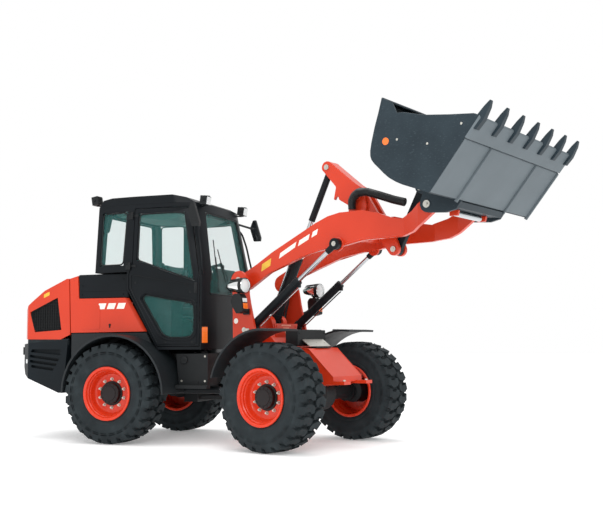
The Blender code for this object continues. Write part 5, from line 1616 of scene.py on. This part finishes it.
def front_frame():
    """The orange front frame with its pins, welds, cross plate, marks and fasteners."""
    softened("front_chassis", ORANGE, 0.005, 2)
    pins = bmesh.new()
    for side in (-1, 1):
        for x, z, radius in ((0.360, 1.555, 0.034), (0.433, 1.085, 0.024)):
            face = side * TOWER_FACE
            bar_into(pins, (x, face, z), (x, face + side * 0.010, z), radius, 32)
            bar_into(pins, (x, face + side * 0.010, z), (x, face + side * 0.014, z), radius * 0.35, 12)
            box_into(pins, (x + radius * 0.9, face + side * 0.004 - 0.004, z - 0.012),
                     (x + radius * 0.9 + 0.040, face + side * 0.004 + 0.004, z + 0.012))
            hex_into(pins, (x + radius * 0.9 + 0.028, face + side * 0.008, z), (0, side, 0), 0.007, 0.006)
    round_edges(pins, 0.0015, 1, 50)
    place_piece(pins, "front_frame_pins", ZINC, "front_frame", "front")
    welds = bmesh.new()
    for side in (-1, 1):
        pipe_into(welds, [(0.560, side * 0.2365, 1.066), (0.245, side * 0.2365, 1.066)], 0.006, 8,
                  smooth=False)
        pipe_into(welds, [(0.700, side * 0.2370, 0.928), (1.050, side * 0.2370, 0.906),
                          (1.322, side * 0.2370, 0.652)], 0.005, 8, smooth=False)
        plate_into(welds, rounded([(0.330, 0.985), (0.560, 0.985), (0.560, 1.090), (0.330, 1.150)], 0.015),
                   *sorted((side * 0.3915, side * 0.3935)))
    place_piece(welds, "front_frame_welds", ORANGE, "front_frame", "front")
    plate = bmesh.new()
    plate_into(plate, [(-0.150, 0.985), (0.150, 0.985), (0.185, 1.145), (-0.185, 1.145)], 0.6005, 0.6145, "X")
    round_edges(plate, 0.003)
    for y in (-0.150, 0.150):
        hex_into(plate, (0.6145, y, 1.118), (1, 0, 0), 0.009, 0.008)
    place_piece(plate, "cross_plate", ORANGE, "front_frame", "front")
    mark = bmesh.new()
    plate_into(mark, rounded([(-0.050, 1.108), (0.050, 1.108), (0.0, 1.030)], 0.008), 0.6147, 0.6156, "X")
    plate_into(mark, rounded([(-0.075, 1.122), (0.075, 1.122), (0.075, 1.134), (-0.075, 1.134)], 0.003),
               0.6147, 0.6156, "X")
    place_piece(mark, "cross_plate_mark", PALE_LABEL, "front_frame", "front")
    disc = bmesh.new()
    for side in (-1, 1):
        bar_into(disc, (0.330, side * TOWER_FACE, 1.170), (0.330, side * (TOWER_FACE + 0.001), 1.170),
                 0.026, 32)
    place_piece(disc, "tower_round_marks", WHITE_LABEL, "front_frame", "front")
    bolts = bmesh.new()
    for side in (-1, 1):
        for x, z in ((0.330, 0.700), (0.420, 0.640), (0.560, 0.640), (0.700, 0.640), (0.820, 0.700)):
            hex_into(bolts, (x, side * TOWER_FACE, z), (0, side, 0), 0.013, 0.012)
        for x in (1.290, 1.410):
            hex_into(bolts, (x, side * 0.182, 0.610), (0, 0, 1), 0.013, 0.012)
    place_piece(bolts, "front_frame_bolts", ZINC, "front_frame", "front")


def valve_cover():
    """The black cover on the nose, with the bright plate in front of it."""
    softened("valve_box", PLASTIC, 0.010, 3)
    plate = bmesh.new()
    plate_into(plate, [(0.9275, 0.985), (1.020, 0.921), (1.024, 0.926), (0.9315, 0.992)], -0.170, 0.170)
    for y in (-0.130, 0.0, 0.130):
        hex_into(plate, (0.975, y, 0.957), (0.57, 0, 0.82), 0.009, 0.007)
    place_piece(plate, "nose_bright_plate", ZINC, "front_frame", "front")
    block = bmesh.new()
    box_into(block, (1.000, -0.120, 0.910), (1.060, 0.120, 0.924))
    for k in range(6):
        box_into(block, (0.785, -0.190 + k * 0.066, 1.0795), (0.915, -0.164 + k * 0.066, 1.0835))
    for y in (-0.200, 0.200):
        hex_into(block, (0.9255, y, 1.050), (1, 0, 0), 0.008, 0.006)
    round_edges(block, 0.002, 1)
    place_piece(block, "nose_cover_ribs", PLASTIC, "front_frame", "front")


def headlamp(label, side):
    """A silver lamp shell with its lens, visor, signal pod and bent bracket."""
    y = side * 0.600
    start, end = (0.500, y, 1.490), (1.500, y, 1.490)
    shell = bmesh.new()
    profile = [(0.0, -0.118), (0.018, -0.116), (0.034, -0.104), (0.046, -0.080), (0.055, -0.045),
               (0.063, -0.005), (0.068, 0.035), (0.070, 0.075), (0.070, 0.096), (0.066, 0.100),
               (0.062, 0.098), (0.060, 0.084), (0.040, 0.060), (0.0, 0.045)]
    turned_into(shell, profile + [profile[0]], start, end, 40)
    lamp = place_piece(shell, "headlamp_shell_" + label, REFLECTOR, "front_frame", "front", 40)
    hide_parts("headlamp_" + label)
    lens = bmesh.new()
    turned_into(lens, [(0.0, 0.106), (0.030, 0.104), (0.052, 0.097), (0.061, 0.090), (0.061, 0.086),
                       (0.050, 0.092), (0.030, 0.099), (0.0, 0.101), (0.0, 0.106)], start, end, 40)
    place_piece(lens, "headlamp_lens_" + label, CLEAR_LENS, "front_frame", "front")
    bulb = bmesh.new()
    turned_into(bulb, [(0.0, 0.080), (0.010, 0.078), (0.014, 0.070), (0.014, 0.050), (0.0, 0.050),
                       (0.0, 0.080)], start, end, 20)
    place_piece(bulb, "headlamp_bulb_" + label, ZINC, "front_frame", "front")
    black = bmesh.new()
    turned_into(black, [(0.0705, 0.060), (0.0735, 0.062), (0.0740, 0.098), (0.0705, 0.100), (0.0705, 0.060)],
                start, end, 40)
    for k in range(7):
        angle = radians(35 + k * 110 / 6)
        dy, dz = 0.072 * cos(angle), 0.072 * sin(angle)
        bar_into(black, (0.438, y + dy * 0.85, 1.490 + dz * 0.85), (0.575, y + dy, 1.490 + dz), 0.0042, 8)
    plate_into(black, rounded([(0.490, 1.418), (0.560, 1.418), (0.580, 1.385), (0.600, 1.250), (0.520, 1.230),
                               (0.470, 1.300), (0.462, 1.385)], 0.016), y - 0.040, y + 0.040)
    round_edges(black, 0.006, 2, 40)
    bar_into(black, (0.520, y, 1.425), (0.520, y, 1.400), 0.016, 20)
    pipe_into(black, [(0.500, y, 1.330), (0.480, side * 0.560, 1.290), (0.470, side * 0.500, 1.262),
                      (0.470, side * 0.430, 1.255)], 0.013, 12)
    box_into(black, (0.430, side * 0.4275 - 0.008, 1.228), (0.500, side * 0.4275 + 0.008, 1.282))
    for x in (0.445, 0.485):
        hex_into(black, (x, side * 0.436, 1.255), (0, side, 0), 0.008, 0.007)
    pipe_into(black, [(0.470, y, 1.400), (0.440, y + side * 0.010, 1.360), (0.455, y, 1.300),
                      (0.500, y, 1.260)], 0.006, 8)
    place_piece(black, "headlamp_bracket_" + label, PLASTIC, "front_frame", "front")
    for name, material, back, front, low, high, rounding in (
            ("turn_signal_lens_", AMBER, 0.5955, 0.6040, 1.275, 1.330, 0.004),
            ("side_light_lens_", CLEAR_LENS, 0.5885, 0.5950, 1.338, 1.375, 0.003)):
        small_lens = bmesh.new()
        box_into(small_lens, (back, y - 0.030, low), (front, y + 0.030, high),
                 Matrix.Rotation(radians(-8), 4, "Y"))
        round_edges(small_lens, rounding)
        place_piece(small_lens, name + label, material, "front_frame", "front")


def front_guard(label, side):
    """The front fender with its rolled edge, stay and flap bolts."""
    softened("front_fender_" + label, FENDER, 0.004, 2)
    fender_lip("front", label, side, WHEEL_REACH, 0.5985, [164 - 82 * k / 18 for k in range(19)])
    stay = bmesh.new()
    for angle in (100, 140):
        turn = radians(angle)
        out = Vector((cos(turn), 0, sin(turn)))
        place = Vector((WHEEL_REACH, 0, TYRE_RADIUS)) + out * 0.607
        across = Vector((0, side, 0))
        bar_into(stay, place + across * 0.420, place + across * 0.780, 0.010, 12)
        for y in (0.500, 0.640, 0.760):
            hex_into(stay, place + across * y - out * 0.004, out, 0.009, 0.014)
    place_piece(stay, "front_fender_stays_" + label, CASTING, "front_frame", "front")


def hoses_and_pipes():
    """Hydraulic hoses and pipes that the front frame and the tilt cylinder hold."""
    bundle = bmesh.new()
    for side, shift in ((-1, 0.0), (-1, 0.030), (1, 0.0), (1, 0.030)):
        pipe_into(bundle, [(0.305 + shift, side * 0.330, 0.975), (0.300 + shift, side * 0.335, 1.120),
                           (0.320 + shift, side * 0.345, 1.280), (0.345 + shift, side * 0.352, 1.400),
                           (0.352 + shift * 0.6, side * 0.356, 1.455)], 0.011, 12)
    for y, shift in ((-0.190, 0.0), (-0.160, 0.02), (0.160, 0.0), (0.190, 0.02)):
        pipe_into(bundle, [(0.170, y, 0.925), (0.120 + shift, y, 0.985), (0.100 + shift, y * 0.9, 1.060),
                           (0.150 + shift, y * 0.8, 1.130), (0.245, y * 0.8, 1.110), (0.275, y * 0.8, 1.069)],
                  0.010, 12)
    place_piece(bundle, "front_frame_hoses", HOSE, "front_frame", "front")
    unions = bmesh.new()
    for side in (-1, 1):
        for x in (0.305, 0.335):
            hex_into(unions, (x, side * 0.330, 0.962), (0, 0, 1), 0.015, 0.022)
        for y in (0.190, 0.160):
            hex_into(unions, (0.275, side * y * 0.8, 1.066), (0, 0, 1), 0.014, 0.018)
        pipe_into(unions, [(0.360, side * 0.378, 0.962), (0.380, side * 0.380, 1.010),
                           (0.470, side * 0.380, 1.040), (0.540, side * 0.378, 0.990),
                           (0.545, side * 0.376, 0.962)], 0.006, 10)
    place_piece(unions, "front_frame_unions", ZINC, "front_frame", "front")


def steps():
    """The tanks under the doors with their tread bars, caps and amber side markers."""
    for label, side in SIDES:
        softened("step_box_" + label, PLASTIC, 0.005, 2)
        tread = bmesh.new()
        for k in range(14):
            x = -0.352 + k * 0.0232
            for y in (0.592, 0.614, 0.636):
                bar_into(tread, (x, side * y, 0.5615), (x, side * y, 0.5660), 0.0065, 10, 0.0045)
        place_piece(tread, "step_grip_studs_" + label, CASTING, "rear_frame")
    cap = bmesh.new()
    turned_into(cap, [(0.0, 0.022), (0.030, 0.022), (0.036, 0.018), (0.038, 0.0), (0.0, 0.0), (0.0, 0.022)],
                (-0.300, -0.579, 0.800), (-0.300, -1.579, 0.800), 24)
    box_into(cap, (-0.330, -0.606, 0.795), (-0.270, -0.598, 0.805))
    place_piece(cap, "tank_cap", PLASTIC, "rear_frame")
    latch = bmesh.new()
    for side in (-1, 1):
        for x, z in ((-0.330, 0.600), (-0.080, 0.600), (-0.080, 0.835)):
            hex_into(latch, (x, side * 0.5795, z), (0, side, 0), 0.008, 0.006)
    place_piece(latch, "tank_bolts", ZINC, "rear_frame")
    skin = skin_of("cab_frame")
    for label, side in SIDES:
        place = on_skin(skin, (0.595, side * 1.245, 1.040), (-1, -side, 0))[0]
        out = Vector((0.75, side * 0.66, 0)).normalized()
        across = Vector((0, 0, 1)).cross(out).normalized()
        turned = Matrix((across, out, Vector((0, 0, 1)))).transposed().to_4x4()
        matrix = REAR @ Matrix.Translation(place + out * 0.004) @ turned
        base, lens = bmesh.new(), bmesh.new()
        box_into(base, (-0.036, -0.010, -0.083), (0.036, 0.006, 0.083))
        box_into(lens, (-0.029, 0.004, -0.076), (0.029, 0.014, 0.076))
        for shape in (base, lens):
            round_edges(shape, 0.004)
        place_piece(base, "side_marker_base_" + label, PLASTIC, "rear_frame", matrix)
        place_piece(lens, "side_marker_lens_" + label, AMBER, "rear_frame", matrix)


def steering_cylinders():
    """The two steering cylinders' barrels and rods, with their edges rounded."""
    for label, _ in SIDES:
        softened("steer_barrel_" + label, BARREL_BLACK, 0.002, 2)
        softened("steer_rod_" + label, CHROME, 0.002, 2)


front_frame()
valve_cover()
for side_name, side_sign in SIDES:
    headlamp(side_name, side_sign)
    front_guard(side_name, side_sign)
hoses_and_pipes()
steps()
steering_cylinders()


# ------------------------------------------------------------------ stage, light and camera


def studio():
    """A pale floor that runs out of sight, and soft light from above and from the front right."""
    bpy.context.scene.view_settings.view_transform = "Standard"
    material = new_finish("pale_floor", "#f8f8f8", 0.9, Emission_Color=(1, 1, 1, 1),
                          Emission_Strength=0.22)[0]
    shape = bmesh.new()
    bmesh.ops.create_grid(shape, x_segments=2, y_segments=2, size=60.0)
    floor = object_from(shape, "floor")
    floor.data.materials.append(material)

    world = bpy.data.worlds.new("studio")
    world.use_nodes = True
    backdrop = world.node_tree.nodes["Background"]
    backdrop.inputs["Color"].default_value = (1.0, 1.0, 1.0, 1.0)
    backdrop.inputs["Strength"].default_value = 1.0
    bpy.context.scene.world = world

    for name, place, energy, size in (("key", (4.5, -9.0, 7.5), 420.0, 5.0),
                                      ("top", (-1.0, 0.5, 9.0), 340.0, 7.0)):
        light = bpy.data.lights.new(name, "AREA")
        light.energy = energy
        light.size = size
        lamp = bpy.data.objects.new(name, light)
        aim = Vector((0.0, 0.0, 1.2)) - Vector(place)
        lamp.matrix_world = Matrix.Translation(place) @ aim.to_track_quat("-Z", "Y").to_matrix().to_4x4()
        bpy.context.scene.collection.objects.link(lamp)


def camera():
    """A long lens at bumper height, off the machine's front right."""
    yaw, pitch, roll = radians(20.722), radians(5.106), radians(-0.3305)
    view = bpy.data.cameras.new("camera")
    view.lens = 55.87
    view.sensor_width = 36.0
    view.sensor_fit = "HORIZONTAL"
    view.clip_end = 200.0
    stand = bpy.data.objects.new("camera", view)
    ahead = Vector((-sin(yaw) * cos(pitch), cos(yaw) * cos(pitch), sin(pitch)))
    right = Vector((cos(yaw), sin(yaw), 0))
    up = right.cross(ahead)
    tilted_right = cos(roll) * right + sin(roll) * up
    tilted_up = cos(roll) * up - sin(roll) * right
    turn = Matrix((tilted_right, tilted_up, -ahead)).transposed().to_4x4()
    stand.matrix_world = Matrix.Translation(PIVOT + Vector((3.9665, -8.6562, 0.9653))) @ turn
    bpy.context.scene.collection.objects.link(stand)
    bpy.context.scene.camera = stand


studio()
camera()

for node, thing in frame["nodes"].items():
    slot = next(part["material_slot"] for part in frame["record"]["subparts"] if part["node"] == node)
    thing.data.materials.clear()
    thing.data.materials.append(BY_SLOT[slot])
